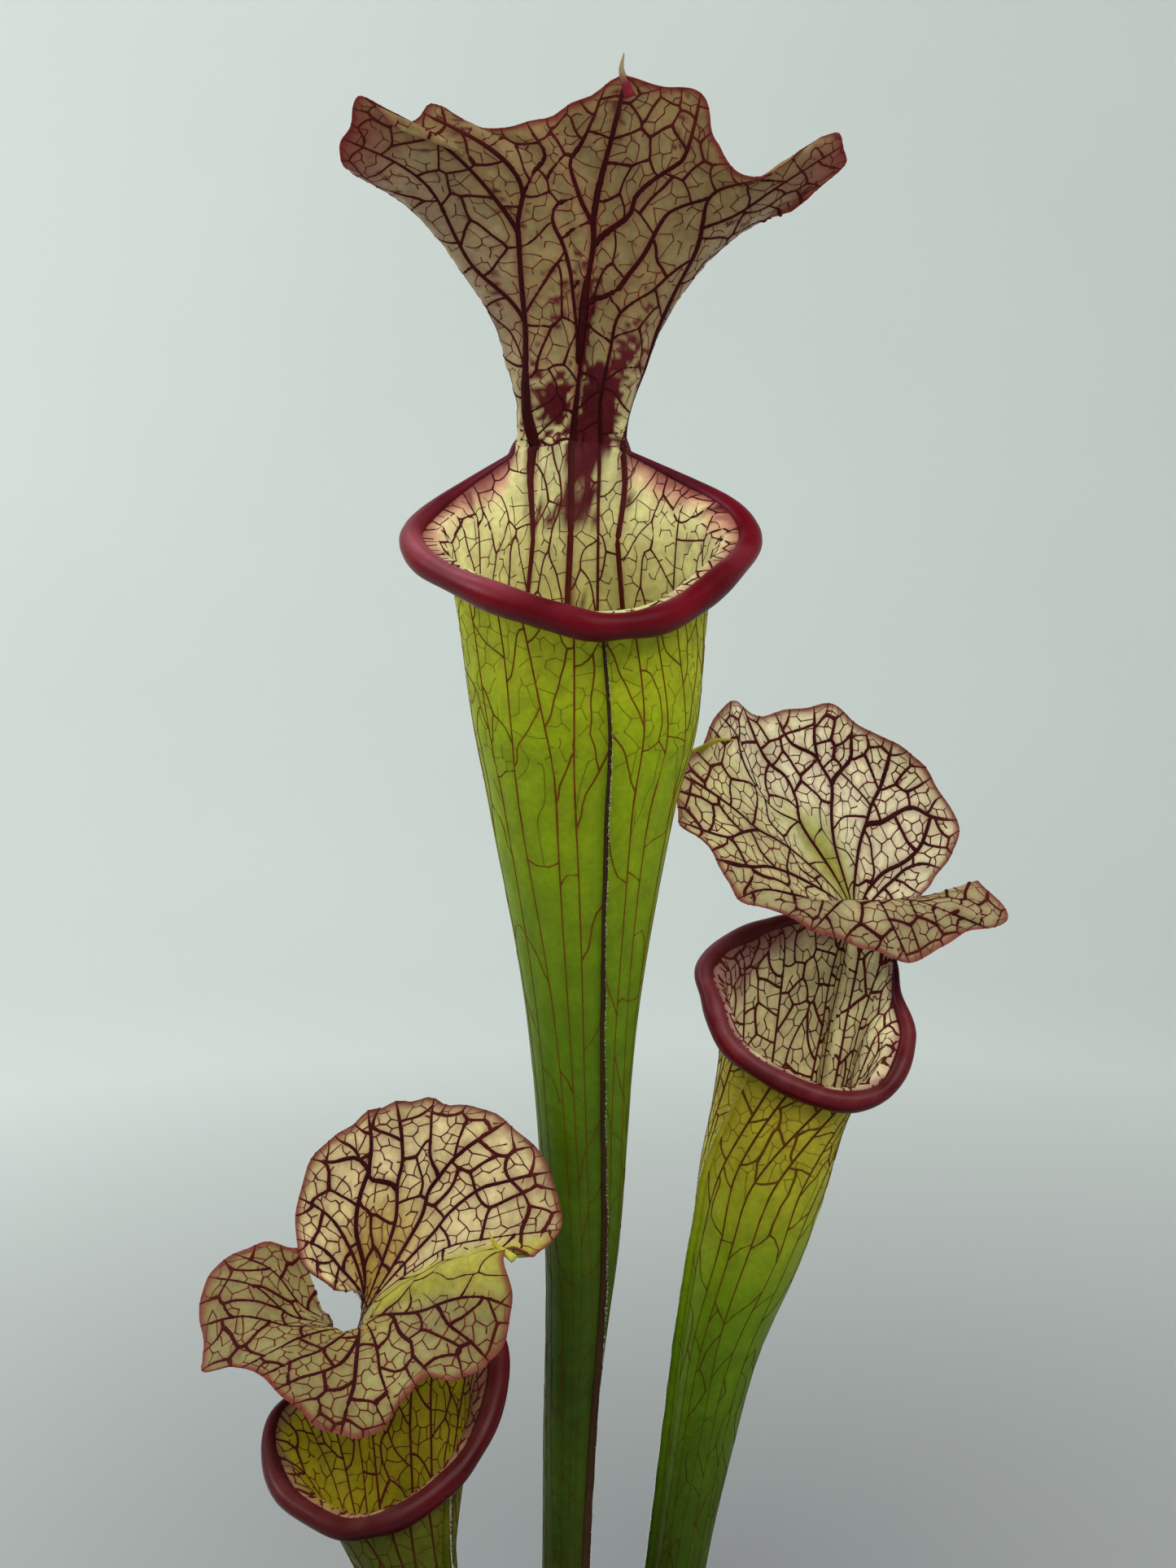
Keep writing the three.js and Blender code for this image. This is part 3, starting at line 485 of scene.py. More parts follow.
def ripple(points, size, seed):
    """Smooth irregular value from about -1 to 1, with bumps of a size in millimetres."""
    rng = np.random.default_rng(seed)
    total = np.zeros(points.shape[:-1])
    for _ in range(6):
        way = unit(rng.normal(size=3)) * 2 * math.pi / (size * rng.uniform(0.8, 1.7))
        total += np.sin(points @ way + rng.uniform(0, 2 * math.pi))
    return total / 3.0


# %% Columns of the sheet
def rim_point(leaf, degrees):
    """Point of the lip's line at an angle round the mouth."""
    first = leaf["rim"][0]
    closed = np.array(leaf["rim"] + [[first[0] + 360, *first[1:]]], float)
    wrapped = degrees + 360 if degrees < first[0] else degrees
    return hermite(closed[:, 0], closed[:, 1:], np.array([wrapped]))[0]


def station_point(leaf, index, degrees):
    """Point of the sheet on one station of the tube."""
    x, y, z, across, deep, turn = leaf["stations"][index]
    last = len(leaf["stations"]) - 1
    before = np.array(leaf["stations"][max(index - 1, 0)][:3], float)
    after = np.array(leaf["stations"][min(index + 1, last)][:3], float)
    axis = unit(after - before)
    face = math.radians(turn)
    front = np.array([math.sin(face), -math.cos(face), 0.0])
    front = unit(front - axis * front.dot(axis))
    side = np.cross(front, axis)
    a = math.radians(degrees)
    return np.array([x, y, z]) + side * math.sin(a) * across - front * math.cos(a) * deep


def tube_column(leaf, degrees):
    """Points that one column passes through: stations, flare and lip."""
    rows = [station_point(leaf, i, degrees) for i in range(len(leaf["stations"]))]
    centre = np.array([r[1:] for r in leaf["rim"]], float).mean(axis=0)
    throat = np.array(leaf["stations"][-1][:3], float)
    drop = unit(throat - centre) * leaf["flare"]["drop"]
    rim = rim_point(leaf, degrees)
    return np.array([*rows, centre + drop + (rim - centre - drop) * leaf["flare"]["scale"], rim])


def rib_angle(leaf, k):
    """Angle round the mouth at which rib k leaves the lip's line."""
    start, end = leaf["column"]
    return start - (start + 360 - end) * k / (len(leaf["ribs"]) - 1)


def rib_at(leaf, degrees):
    """Rib number at an angle, or None in front of the column."""
    start, end = leaf["column"]
    behind = degrees - 360 if degrees >= end else degrees
    if behind > start:
        return None
    return (start - behind) * (len(leaf["ribs"]) - 1) / (start + 360 - end)


def rib_points(leaf, k):
    """Points of the hood's rib at any place between the given ribs."""
    ribs = np.array(leaf["ribs"], float)
    flat = ribs.reshape(len(ribs), -1)
    return hermite(np.arange(len(ribs)), flat, np.array([k]))[0].reshape(-1, 3)


# %% The sheet as two fine grids
class Sheet:
    """Grid of points of a leaf's sheet with the directions that face out of the tube."""

    def __init__(self, points, us, vs, turned, wrap):
        self.points = points
        self.us = us
        self.vs = vs
        self.turned = turned
        self.wrap = wrap
        self.refresh()

    def refresh(self):
        """Measures the directions and the scale of the grid again."""
        p = self.points
        if self.wrap:
            along_u = (np.roll(p, -1, axis=0) - np.roll(p, 1, axis=0)) / (2 * self.step_u())
        else:
            along_u = np.gradient(p, self.us, axis=0)
        along_v = np.gradient(p, self.vs, axis=1)
        normals = unit(np.cross(along_u, along_v))
        self.normals = -normals if self.turned else normals
        self.scale_u = np.linalg.norm(along_u, axis=-1)
        self.scale_v = np.linalg.norm(along_v, axis=-1)

    def step_u(self):
        """Distance between two columns, in degrees or ribs."""
        return self.us[1] - self.us[0]

    def read(self, u, v, grid):
        """Value of a grid at any u and v, straight between its points."""
        fu = (np.asarray(u) - self.us[0]) / self.step_u()
        fv = np.interp(v, self.vs, np.arange(len(self.vs)))
        if self.wrap:
            i = np.floor(fu).astype(int)
            low, high = i % len(self.us), (i + 1) % len(self.us)
        else:
            i = np.clip(np.floor(fu).astype(int), 0, len(self.us) - 2)
            low, high = i, i + 1
        j = np.clip(np.floor(fv).astype(int), 0, len(self.vs) - 2)
        a, b = fu - i, fv - j
        if grid.ndim == 3:
            a, b = a[..., None], b[..., None]
        return ((1 - a) * (1 - b) * grid[low, j] + a * (1 - b) * grid[high, j]
                + (1 - a) * b * grid[low, j + 1] + a * b * grid[high, j + 1])

    def at(self, places):
        """Points at rows of u and v."""
        return self.read(places[:, 0], places[:, 1], self.points)

    def facing(self, places):
        """Directions out of the sheet at rows of u and v."""
        return self.read(places[:, 0], places[:, 1], self.normals)


TUBE_STEP = 3.0
TUBE_ROW = 2.2
RIB_STEPS = 8
HOOD_ROW = 0.8


def rows_between(lengths, row):
    """Places along a row of points, about one row height apart."""
    places = []
    for i, length in enumerate(lengths):
        count = max(2, math.ceil(length / row))
        places.extend(i + np.arange(count) / count)
    return np.array([*places, len(lengths)])


def leaf_sheets(leaf):
    """The tube's grid, all the way round, and the hood's grid over its ribs."""
    degrees = np.arange(0, 360, TUBE_STEP)
    columns = []
    for d in degrees:
        k = rib_at(leaf, d)
        rows = tube_column(leaf, d)
        columns.append(rows if k is None else np.concatenate([rows, rib_points(leaf, k)]))
    tube_rows = len(leaf["stations"]) + 2
    lengths = np.mean([np.linalg.norm(np.diff(c[:tube_rows], axis=0), axis=1) for c in columns],
                      axis=0)
    tube_v = rows_between(lengths, TUBE_ROW)
    tube = Sheet(np.array([along(c, tube_v) for c in columns]), degrees, tube_v, False, True)
    ribs = len(leaf["ribs"]) - 1
    ks = np.arange(ribs * RIB_STEPS + 1) / RIB_STEPS
    backs = [np.concatenate([tube_column(leaf, rib_angle(leaf, k)), rib_points(leaf, k)])
             for k in ks]
    lengths = np.mean([np.linalg.norm(np.diff(c[tube_rows - 1:], axis=0), axis=1) for c in backs],
                      axis=0)
    hood_v = rows_between(lengths, HOOD_ROW)
    points = np.array([along(c, hood_v + tube_rows - 1) for c in backs])
    hood = Sheet(points, ks, hood_v, True, False)
    return tube, hood


for leaf in (TALL, RIGHT, LEFT):
    leaf["tube"], leaf["hood"] = leaf_sheets(leaf)
    print(leaf["name"], "tube grid", leaf["tube"].points.shape[:2],
          "hood grid", leaf["hood"].points.shape[:2])

# %% [markdown]
# ## One sheet from two grids
#
# The two grids are joined into one sheet: all columns of the tube end on one ring, which
# is the lip in front and the first row of the hood behind. Where the back of the tube
# goes on as the column, the joined sheet is evened out, each point moving a little
# toward the mean of its neighbours, until no edge is left.

# %% Join the grids
def ring_zipper(low, low_places, high, high_places):
    """Triangles between two rings of points that are given with growing places."""
    faces = []
    i = j = 0
    while i < len(low) or j < len(high):
        next_low = low_places[i + 1] if i + 1 < len(low) else low_places[0] + 360
        next_high = high_places[j + 1] if j + 1 < len(high) else high_places[0] + 360
        a, b = low[i % len(low)], high[j % len(high)]
        if j >= len(high) or (i < len(low) and next_low <= next_high):
            faces.append((a, low[(i + 1) % len(low)], b))
            i += 1
        else:
            faces.append((a, high[(j + 1) % len(high)], b))
            j += 1
    return faces


def skin_sheet(leaf):
    """Points, faces, margin loop and masks of the joined sheet."""
    tube, hood = leaf["tube"], leaf["hood"]
    columns, rows = tube.points.shape[:2]
    number = np.full((columns, rows), -1)
    number[:, :rows - 1] = np.arange(columns * (rows - 1)).reshape(columns, rows - 1)
    count = columns * (rows - 1)
    start, end = leaf["column"]
    front = [c for c in range(columns) if start < tube.us[c] < end]
    for c in front:
        number[c, rows - 1] = count
        count += 1
    hood_number = count + np.arange(hood.points.shape[0] * hood.points.shape[1])
    hood_number = hood_number.reshape(hood.points.shape[:2])
    faces = []
    for r in range(rows - 2):
        for c in range(columns):
            d = (c + 1) % columns
            faces.append((number[c, r], number[d, r], number[d, r + 1], number[c, r + 1]))
    low = list(number[:, rows - 2])
    high = [(float(tube.us[c]), number[c, rows - 1]) for c in front]
    high += [(rib_angle(leaf, k) % 360, hood_number[i, 0]) for i, k in enumerate(hood.us)]
    high.sort()
    faces += ring_zipper(low, list(tube.us), [h[1] for h in high], [h[0] for h in high])
    for i in range(hood_number.shape[0] - 1):
        for j in range(hood_number.shape[1] - 1):
            faces.append((hood_number[i, j], hood_number[i, j + 1],
                          hood_number[i + 1, j + 1], hood_number[i + 1, j]))
    margin = ([number[c, rows - 1] for c in reversed(front)] + list(hood_number[0, :])
              + list(hood_number[1:, -1]) + list(hood_number[-1, ::-1][1:]))
    foot = list(number[:, 0])
    return number, front, hood_number, faces, margin, foot


def gather(number, front, tube_grid, hood_grid):
    """Values of both grids in the order of the joined sheet's points."""
    rows = number.shape[1]
    shape = tube_grid.shape[2:]
    return np.concatenate([tube_grid[:, :rows - 1].reshape(-1, *shape),
                           tube_grid[front, rows - 1].reshape(-1, *shape),
                           hood_grid.reshape(-1, *shape)])


# %% Even out the neck
NECK_REACH = 16.0
NECK_ROUNDS = 130


def neighbour_mean(values, pairs, count):
    """Mean of each value's neighbours, which are given as pairs."""
    total = np.zeros(values.shape)
    np.add.at(total, pairs[:, 0], values[pairs[:, 1]])
    np.add.at(total, pairs[:, 1], values[pairs[:, 0]])
    return total / np.maximum(count, 1)[:, None]


def settle_neck(leaf):
    """Smooths the sheet where the back of the tube goes on as the column."""
    number, front, hood_number, faces, margin, foot = skin_sheet(leaf)
    tube, hood = leaf["tube"], leaf["hood"]
    points = gather(number, front, tube.points, hood.points)
    seam = hood.points[::4, 0]
    far = np.linalg.norm(points[:, None] - seam[None], axis=2).min(axis=1)
    pull = (1 - smoothstep(far, NECK_REACH * 0.35, NECK_REACH)) * 0.5
    pull[np.array(margin + foot)] = 0.0
    pairs = np.array([(f[i], f[(i + 1) % len(f)]) for f in faces for i in range(len(f))])
    count = np.bincount(pairs.ravel(), minlength=len(points))
    for _ in range(NECK_ROUNDS):
        points = points + (neighbour_mean(points, pairs, count) - points) * pull[:, None]
    rows = tube.points.shape[1]
    tube.points[:, :rows - 1] = points[number[:, :rows - 1]]
    hood.points = points[hood_number]
    start, end = leaf["column"]
    behind = [c for c in range(len(tube.us)) if c not in front]
    angles = (tube.us[behind] + 180.0) % 360.0 - 180.0
    ribs = (start - angles) / (start + 360.0 - end) * hood.us[-1]
    tube.points[behind, rows - 1] = hood.read(ribs, np.zeros(len(ribs)), hood.points)
    hood.refresh()
    tube.refresh()


for leaf in (TALL, RIGHT, LEFT):
    settle_neck(leaf)

# %% [markdown]
# ## Waves of the hood
#
# A living hood isn't flat between its ribs: its margin is ruffled and nicked, more so
# the further it is from the column. The fine grid is pushed in and out with a soft
# ripple that grows toward the margin, and its last rows are drawn in and out a little.

# %% Ruffle the margins
RUFFLE_SIZE = 11.0
NICK_SIZE = 6.5
TALL_NICKS = points_of("0.9 1.2 0.5, 2 -1.9 0.55, 3 1.5 0.35, 3.7 -0.9 0.4, 14 0.6 0.3,"
                       "14.6 -1 0.3, 15.05 0.8 0.25, 15.5 -3 0.35, 16 0.8 0.25")


def ruffle(leaf):
    """Pushes the hood's outer rows in and out of the sheet and nicks its margin."""
    hood = leaf["hood"]
    toward_margin = hood.vs / hood.vs[-1]
    grow = smoothstep(toward_margin, 0.35, 1.0)[None, :]
    margin = hood.points[:, -1:, :].repeat(hood.points.shape[1], axis=1)
    mixed = hood.points * 0.35 + margin * 0.65
    wave = ripple(mixed, RUFFLE_SIZE, leaf["seed"]) * leaf["ruffle"] * grow
    rib = unit(np.gradient(hood.points, hood.vs, axis=1))
    edge = smoothstep(toward_margin, 0.8, 1.0)[None, :] ** 2
    nick = ripple(margin, NICK_SIZE, leaf["seed"] + 1) * leaf["nick"] * edge
    for k, reach, spread in leaf["nicks"]:
        nick = nick + reach * np.exp(-((hood.us - k) / spread) ** 2)[:, None] * edge
    hood.points = hood.points + hood.normals * wave[..., None] + rib * nick[..., None]
    hood.refresh()


TALL.update({"seed": 11, "ruffle": 0.9, "nick": 0.7, "nicks": TALL_NICKS})
RIGHT.update({"seed": 23, "ruffle": 0.75, "nick": 0.55, "nicks": []})
LEFT.update({"seed": 37, "ruffle": 0.75, "nick": 0.55, "nicks": []})
for leaf in (TALL, RIGHT, LEFT):
    ruffle(leaf)
    print(leaf["name"], "hood margin points:", len(leaf["hood"].us))

# %% [markdown]
# ## Heavy veins
#
# The heavy veins are set one by one, since their pattern is what one knows a leaf by: on
# the tall hood the dark midvein and the strong ones that fan out from it, on the low
# hoods the forks that rise from the crease. A path is given as rib and height. A branch
# names the vein it starts on, and a vein that runs into another names that one. They are
# listed from the first rib to the last, and never cross.

# %% Paths of the heavy veins
def veins_of(text):
    """Heavy veins from lines of name and joints; widths at both ends; rib and height of points."""
    found = []
    for line in text.strip().splitlines():
        head, wide, path = line.split(";")
        name, *joints = head.split()
        vein = {"name": name, "wide": points_of(wide)[0], "path": points_of(path)}
        vein.update(zip(joints[::2], joints[1::2]))
        found.append(vein)
    return found


TALL_MAINS = veins_of("""
far_left on left; 1 0.5; 2.2 2, 1.5 2.7, 1.5 3.2, 1.75 4, 1.6 5
left_lobe on left; 0.9 0.5; 3.3 3, 3 3.5, 2.9 4, 3 4.5, 3.1 5
left; 1.5 0.6; 3 0, 2.1 1, 2.2 2, 3.3 3, 4.4 3.5, 4.75 4.2, 4.7 5
left_top on left; 0.9 0.5; 4.4 3.5, 5.2 3.8, 6 4, 6.4 4.5, 6.6 5
mid_arch on mid into mid_left; 1 0.6; 7.4 1.45, 6.3 1.6, 5.6 2, 5.4 2.45, 5.2 2.75, 5 3, 5.5 3.25, 6.9 3.35
mid_left on mid; 1.1 0.5; 7.5 2.95, 6.95 3.3, 6.75 3.85, 7.2 4.1, 7.45 4.4, 7.7 5
mid; 1.7 0.8; 8 0, 7.8 1, 7.15 2, 7.6 2.7, 7.55 3, 7.9 4, 8 5
mid_right on mid; 1.2 0.6; 7.6 2.7, 8.6 2.9, 9.3 3.1, 9.25 3.4, 10.1 3.95, 10.3 4.2, 9.8 5
low_right on mid into far_right; 1.1 0.6; 7.2 2.05, 9.8 2.2, 10.5 2.4, 11 2.7, 11 3.1, 11.1 3.4, 12.2 3.95
stain into far_right; 0.9 0.6; 11.5 0, 11 1, 11.1 1.6, 10.9 1.95, 11.7 2.15, 12.8 2.4, 13.9 2.95
far_right; 1.4 0.6; 15.2 0, 15 1, 14.6 2, 13.9 2.95, 13.5 3.25, 13 3.5, 12.2 3.95, 12.2 4.5, 12.4 5
right_lobe on far_right; 0.8 0.4; 13.2 3.4, 13.9 3.9, 14.2 4.4, 14.4 5
""")
RIGHT_MAINS = veins_of("""
edge; 0.9 0.6; 1.3 0, 1.15 1.2, 1.1 2, 1.3 2.6, 1 4
low into fork_side; 1 0.8; 2.9 0, 2.6 1.1, 2.1 1.45, 1.6 2.3, 1.95 3, 2.6 3.4
fork_side on fork; 1.1 0.7; 3.8 2, 3.15 2.3, 2.85 3, 2.6 3.4, 2.5 4
fork; 1.1 0.8; 5 0, 4.9 1, 4.4 1.3, 4 1.7, 3.8 2, 3.95 2.4, 4.15 3.1, 4.4 4
top_side on top; 1.1 0.6; 5.57 2.55, 5.1 3.1, 5.25 3.7, 5.3 4
top; 1 0.8; 6.2 0, 6.1 1, 6 1.6, 5.7 2, 5.55 2.5, 6.05 3.05, 6.2 4
top_left on top; 0.9 0.6; 6.05 3.05, 6.6 3.4, 6.8 4
far; 0.7 0.8; 7 0, 7.35 1.6, 7.4 2.1, 7.05 2.4, 7 2.85, 7.3 3.2, 7.5 4
by_crease on far; 0.5 0.5; 7.4 2.1, 8.1 2.6, 8 3.3, 8.4 4
near; 1 0.7; 8.6 0, 9.1 1.6, 9.4 2.1, 9.75 2.6, 9.65 2.95, 9.75 3.3, 10.1 4
near_side on near; 0.8 0.6; 9.75 2.6, 10.4 2.85, 11 3.15, 11 4
near_low; 1 0.7; 10.3 0, 10.7 1.3, 10.8 1.85, 11.2 2.3, 11.8 2.9, 12.1 4
lobe_one; 0.8 0.5; 12.6 0, 12.8 2, 12.8 3, 13 4
lobe_two; 0.9 0.5; 14.8 0, 14.7 2, 14.5 4
lobe_three; 0.9 0.5; 16.4 0, 16.2 2, 16.3 4
flap; 0.9 0.5; 18.3 0, 18.2 2, 18.4 4
""")
LEFT_MAINS = veins_of("""
basal_one; 0.6 0.5; 0.7 0, 1.2 2, 1.3 3, 1.5 4
basal_two; 0.7 0.5; 2.2 0, 2.3 2, 2.1 3, 2.2 4
basal_three; 0.7 0.5; 3.4 0, 3.1 2, 3 3, 3.1 4
basal_four; 0.7 0.5; 4.6 0, 4.2 1.7, 4.6 2.5, 5 4
drape_far; 0.8 0.6; 6.4 0, 5.9 1.8, 5.5 2.5, 5.5 4
drape_side on drape; 0.9 0.6; 8 1.3, 7.2 2, 6.5 2.55, 6.1 3, 6 4
drape; 1.1 0.8; 7.9 0, 8 1.3, 8.1 1.9, 8.05 2.5, 7.9 3, 7.9 4
drape_near; 0.7 0.6; 9.4 0, 9.5 1.6, 9.2 2.4, 9.3 4
side_one on side; 1 0.6; 12.1 1.4, 11.1 1.7, 10.9 2.1, 10.5 2.5, 10.4 4
side_two on side; 0.9 0.6; 12.7 2.2, 12.2 2.5, 12 2.8, 11.8 4
side; 0.9 0.6; 11.6 0, 12 1.2, 12.25 1.7, 12.7 2.2, 12.9 2.6, 13 3.2, 12.9 4
crease; 0.6 0.4; 15.3 0, 15.8 1.2, 16.1 2.1, 15.9 2.9, 15.8 4
fan_one; 0.8 0.7; 16.6 0, 16.6 1.2, 16.75 2, 17 2.35, 17.15 2.9, 17 3.3, 16.8 4
fan_two; 0.9 0.8; 17.3 0, 17.2 1, 17.5 1.9, 17.9 2.25, 17.97 2.6, 18 3, 17.8 4
fan_two_left on fan_two; 1 0.6; 17.97 2.6, 18.45 2.85, 18.8 3.5, 18.9 4
fan_three; 0.9 0.8; 18.5 0, 18.4 1, 18.5 1.7, 18.95 2.05, 19.1 2.5, 19.3 3, 19.5 4
fan_four on fan_three; 1.1 0.7; 18.95 2.05, 20 2.35, 20.1 2.55, 20.05 3, 20 4
fan_four_left on fan_four; 1 0.6; 20.1 2.55, 20.4 3, 20.8 3.4, 21 4
fan_five into fan_four_left; 1.2 0.9; 20.2 0, 20.5 1.2, 20.8 1.75, 20.65 2, 20.35 2.3, 20.1 2.55
fan_six; 0.9 0.6; 21.4 0, 21.3 1.4, 21.45 2.2, 21.65 3, 21.7 4
fan_seven; 0.8 0.6; 22.7 0, 22.5 1.5, 22.4 2.4, 22.5 4
""")
FRONT_LEFT = [17, 33, 50, 70, 94, 118]
FRONT_RIGHT = [242, 266, 290, 310, 327, 344]
SWAY = 4.5
GROUP_ROWS = 1.1


def main_rows(mains, rows):
    """Place of every heavy vein at each height, in the order of the list."""
    names = [main["name"] for main in mains]
    done = {}

    def follow(j):
        if j in done:
            return done[j]
        main = mains[j]
        path = np.array(main["path"], float)
        places = hermite(path[:, 1], path[:, :1], np.clip(rows, path[0, 1], path[-1, 1]))[:, 0]
        if "on" in main:
            places = np.where(rows < path[0, 1], follow(names.index(main["on"])), places)
        if "into" in main:
            places = np.where(rows > path[-1, 1], follow(names.index(main["into"])), places)
        done[j] = places
        return places

    return np.maximum.accumulate(np.array([follow(j) for j in range(len(mains))]), axis=0)


def tube_rows(leaf, rows):
    """Heavy veins carried down the tube, as degrees from the front seam; neighbours join."""
    top = leaf["tube"].vs[-1]
    starts = main_rows(leaf["mains"], np.array([0.0]))[:, 0]
    starts = FRONT - np.array([rib_angle(leaf, k) for k in starts])
    joined = np.round(starts / leaf["group"]) * leaf["group"]
    share = smoothstep(top - rows, 0.1, GROUP_ROWS)
    inner = starts[:, None] + (joined - starts)[:, None] * share
    front = np.array(FRONT_LEFT + FRONT_RIGHT, float)[:, None]
    turn = np.arange(len(front))[:, None] * 2.4
    front = front + SWAY * (0.6 * np.sin(rows * 1.1 + turn) + 0.4 * np.sin(rows * 2.3 + 1.7 * turn))
    left, right = np.split(front, [len(FRONT_LEFT)])
    return np.maximum.accumulate(np.concatenate([left, inner, right]), axis=0)


# %% [markdown]
# ## The net between them
#
# The heavy veins divide a leaf into strips. In each strip seeds are thrown at random, no
# two closer than a cell's width, and every point of the strip goes to its nearest seed:
# the borders of these cells are the second order of veins. The same is done once more
# within each cell for the third. Nearness is measured in space, along the leaf's own
# directions, with the cells drawn out away from the nearest heavy vein, so that veins
# leave it at a slant. A border always ends on a vein of a higher order, as in a leaf.

# %% Grids of the net
HOOD_LEAN = math.radians(34)
TUBE_LEAN = math.radians(16)
WARP_SIZES = ((11.0, 0.9), (3.2, 0.32))
TUBE_NET_STEP = 2.0
MOUTH_DEPTH = 48.0
MOUTH_ROW = 0.8
LOW_ROW = 2.0
FOOT_CLEAR = 8


def warp(points, seed):
    """Points pushed about a little, which makes the borders of cells wavy."""
    shift = np.zeros(points.shape)
    for n, (size, depth) in enumerate(WARP_SIZES):
        for axis in range(3):
            shift[..., axis] += depth * ripple(points, size, seed + 10 * n + axis)
    return points + shift


class Patch:
    """One sheet as a grid of places with its strips and cells."""

    def __init__(self, part, us, vs, points, walls, first, lean, seed):
        self.part = part
        self.us = us
        self.vs = vs
        self.points = points
        self.walls = walls
        self.shape = points.shape[:2]
        self.strip = first + (walls[:, None, :] < us[None, :, None]).sum(axis=0)
        self.warped = warp(points, seed)
        run = np.gradient(points, vs, axis=1)
        across = np.gradient(points, us, axis=0)
        step_u, step_v = np.gradient(us)[:, None], np.gradient(vs)[None, :]
        side = np.linalg.norm(across, axis=2)
        self.area = side * step_u * np.linalg.norm(run, axis=2) * step_v
        off = (us[None, :, None] - walls[:, None, :]) * side[None]
        nearest = np.argmin(np.abs(off), axis=0)
        sign = np.sign(np.take_along_axis(off, nearest[None], axis=0)[0])
        lean = lean * sign[..., None]
        self.way = unit(unit(run) * np.cos(lean) + unit(across) * np.sin(lean))


def hood_patch(leaf):
    """The hood's own grid, with its heavy veins numbered after those of the tube's left."""
    hood = leaf["hood"]
    return Patch("hood", hood.us, hood.vs, hood.points, main_rows(leaf["mains"], hood.vs),
                 len(FRONT_LEFT), HOOD_LEAN, leaf["seed"] + 40)


def tube_patch(leaf):
    """The tube laid open at the front seam, with finer rows in the mouth."""
    tube = leaf["tube"]
    us = np.arange(0.0, 360.1, TUBE_NET_STEP)
    down = np.linalg.norm(np.diff(tube.points.mean(axis=0), axis=0), axis=1)
    down = np.concatenate([np.cumsum(down[::-1])[::-1], [0.0]])
    depths = np.concatenate([np.arange(0, MOUTH_DEPTH, MOUTH_ROW),
                             np.arange(MOUTH_DEPTH, down[0] - FOOT_CLEAR, LOW_ROW)])
    vs = np.interp(depths[::-1], down[::-1], tube.vs[::-1])
    grid_u, grid_v = np.meshgrid((FRONT - us) % 360.0, vs, indexing="ij")
    points = tube.read(grid_u.ravel(), grid_v.ravel(), tube.points).reshape(len(us), len(vs), 3)
    patch = Patch("tube", us, vs, points, tube_rows(leaf, vs), 0, TUBE_LEAN,
                  leaf["seed"] + 40)
    patch.depth = depths[::-1]
    return patch


# %% Seeds and cells
SEED_GAP = 0.8
BLOCK = 2000
NO_CELLS = 0.05


class Weave:
    """Places of both sheets of a leaf in one list, with seeds and cells."""

    def __init__(self, patches, seed):
        self.patches = patches
        self.rng = np.random.default_rng(seed)
        self.places = self.flat("warped")
        self.way = self.flat("way")
        self.area = self.flat("area")
        self.spacing = [self.flat("coarse_size"), self.flat("fine_size")]
        self.stretch = [self.flat("coarse_stretch"), self.flat("fine_stretch")]
        self.labels = [self.flat("strip")]

    def flat(self, name):
        """Values of one kind over all patches in one list."""
        grids = [getattr(patch, name) for patch in self.patches]
        return np.concatenate([grid.reshape(-1, *grid.shape[2:]) for grid in grids])

    def away(self, level, places, seeds):
        """Distance of each place from its seed in cell widths, short along the cell."""
        gap = self.places[places] - self.places[seeds]
        run = (gap * self.way[seeds]).sum(axis=-1)
        squeeze = 1 - 1 / self.stretch[level][seeds] ** 2
        squared = np.maximum((gap ** 2).sum(axis=-1) - squeeze * run ** 2, 0)
        return np.sqrt(squared) / self.spacing[level][seeds]

    def divide(self, level, tries):
        """Throws seeds and gives every place the number of its nearest in the same cell."""
        parent = self.labels[level]
        weight = self.area / (self.spacing[level] ** 2 * self.stretch[level])
        weight = np.where(self.spacing[level] > NO_CELLS, weight, 0.0)
        chosen = self.rng.choice(len(parent), size=tries, p=weight / weight.sum())
        kept = {}
        for place in chosen:
            others = kept.setdefault(int(parent[place]), [])
            if not others or self.away(level, place, np.array(others)).min() > SEED_GAP:
                others.append(int(place))
        label = -1 - parent.astype(np.int64)
        order = np.argsort(parent, kind="stable")
        bounds = np.searchsorted(parent[order], list(kept))
        ends = np.searchsorted(parent[order], list(kept), side="right")
        for seeds, low, high in zip(kept.values(), bounds, ends):
            members = order[low:high]
            seeds = np.array(seeds)
            for start in range(0, len(members), BLOCK):
                block = members[start:start + BLOCK]
                label[block] = seeds[np.argmin(self.away(level, block[:, None], seeds), axis=1)]
        self.labels.append(label)


# %% Borders of the cells as lines
RELAX_ROUNDS = 5


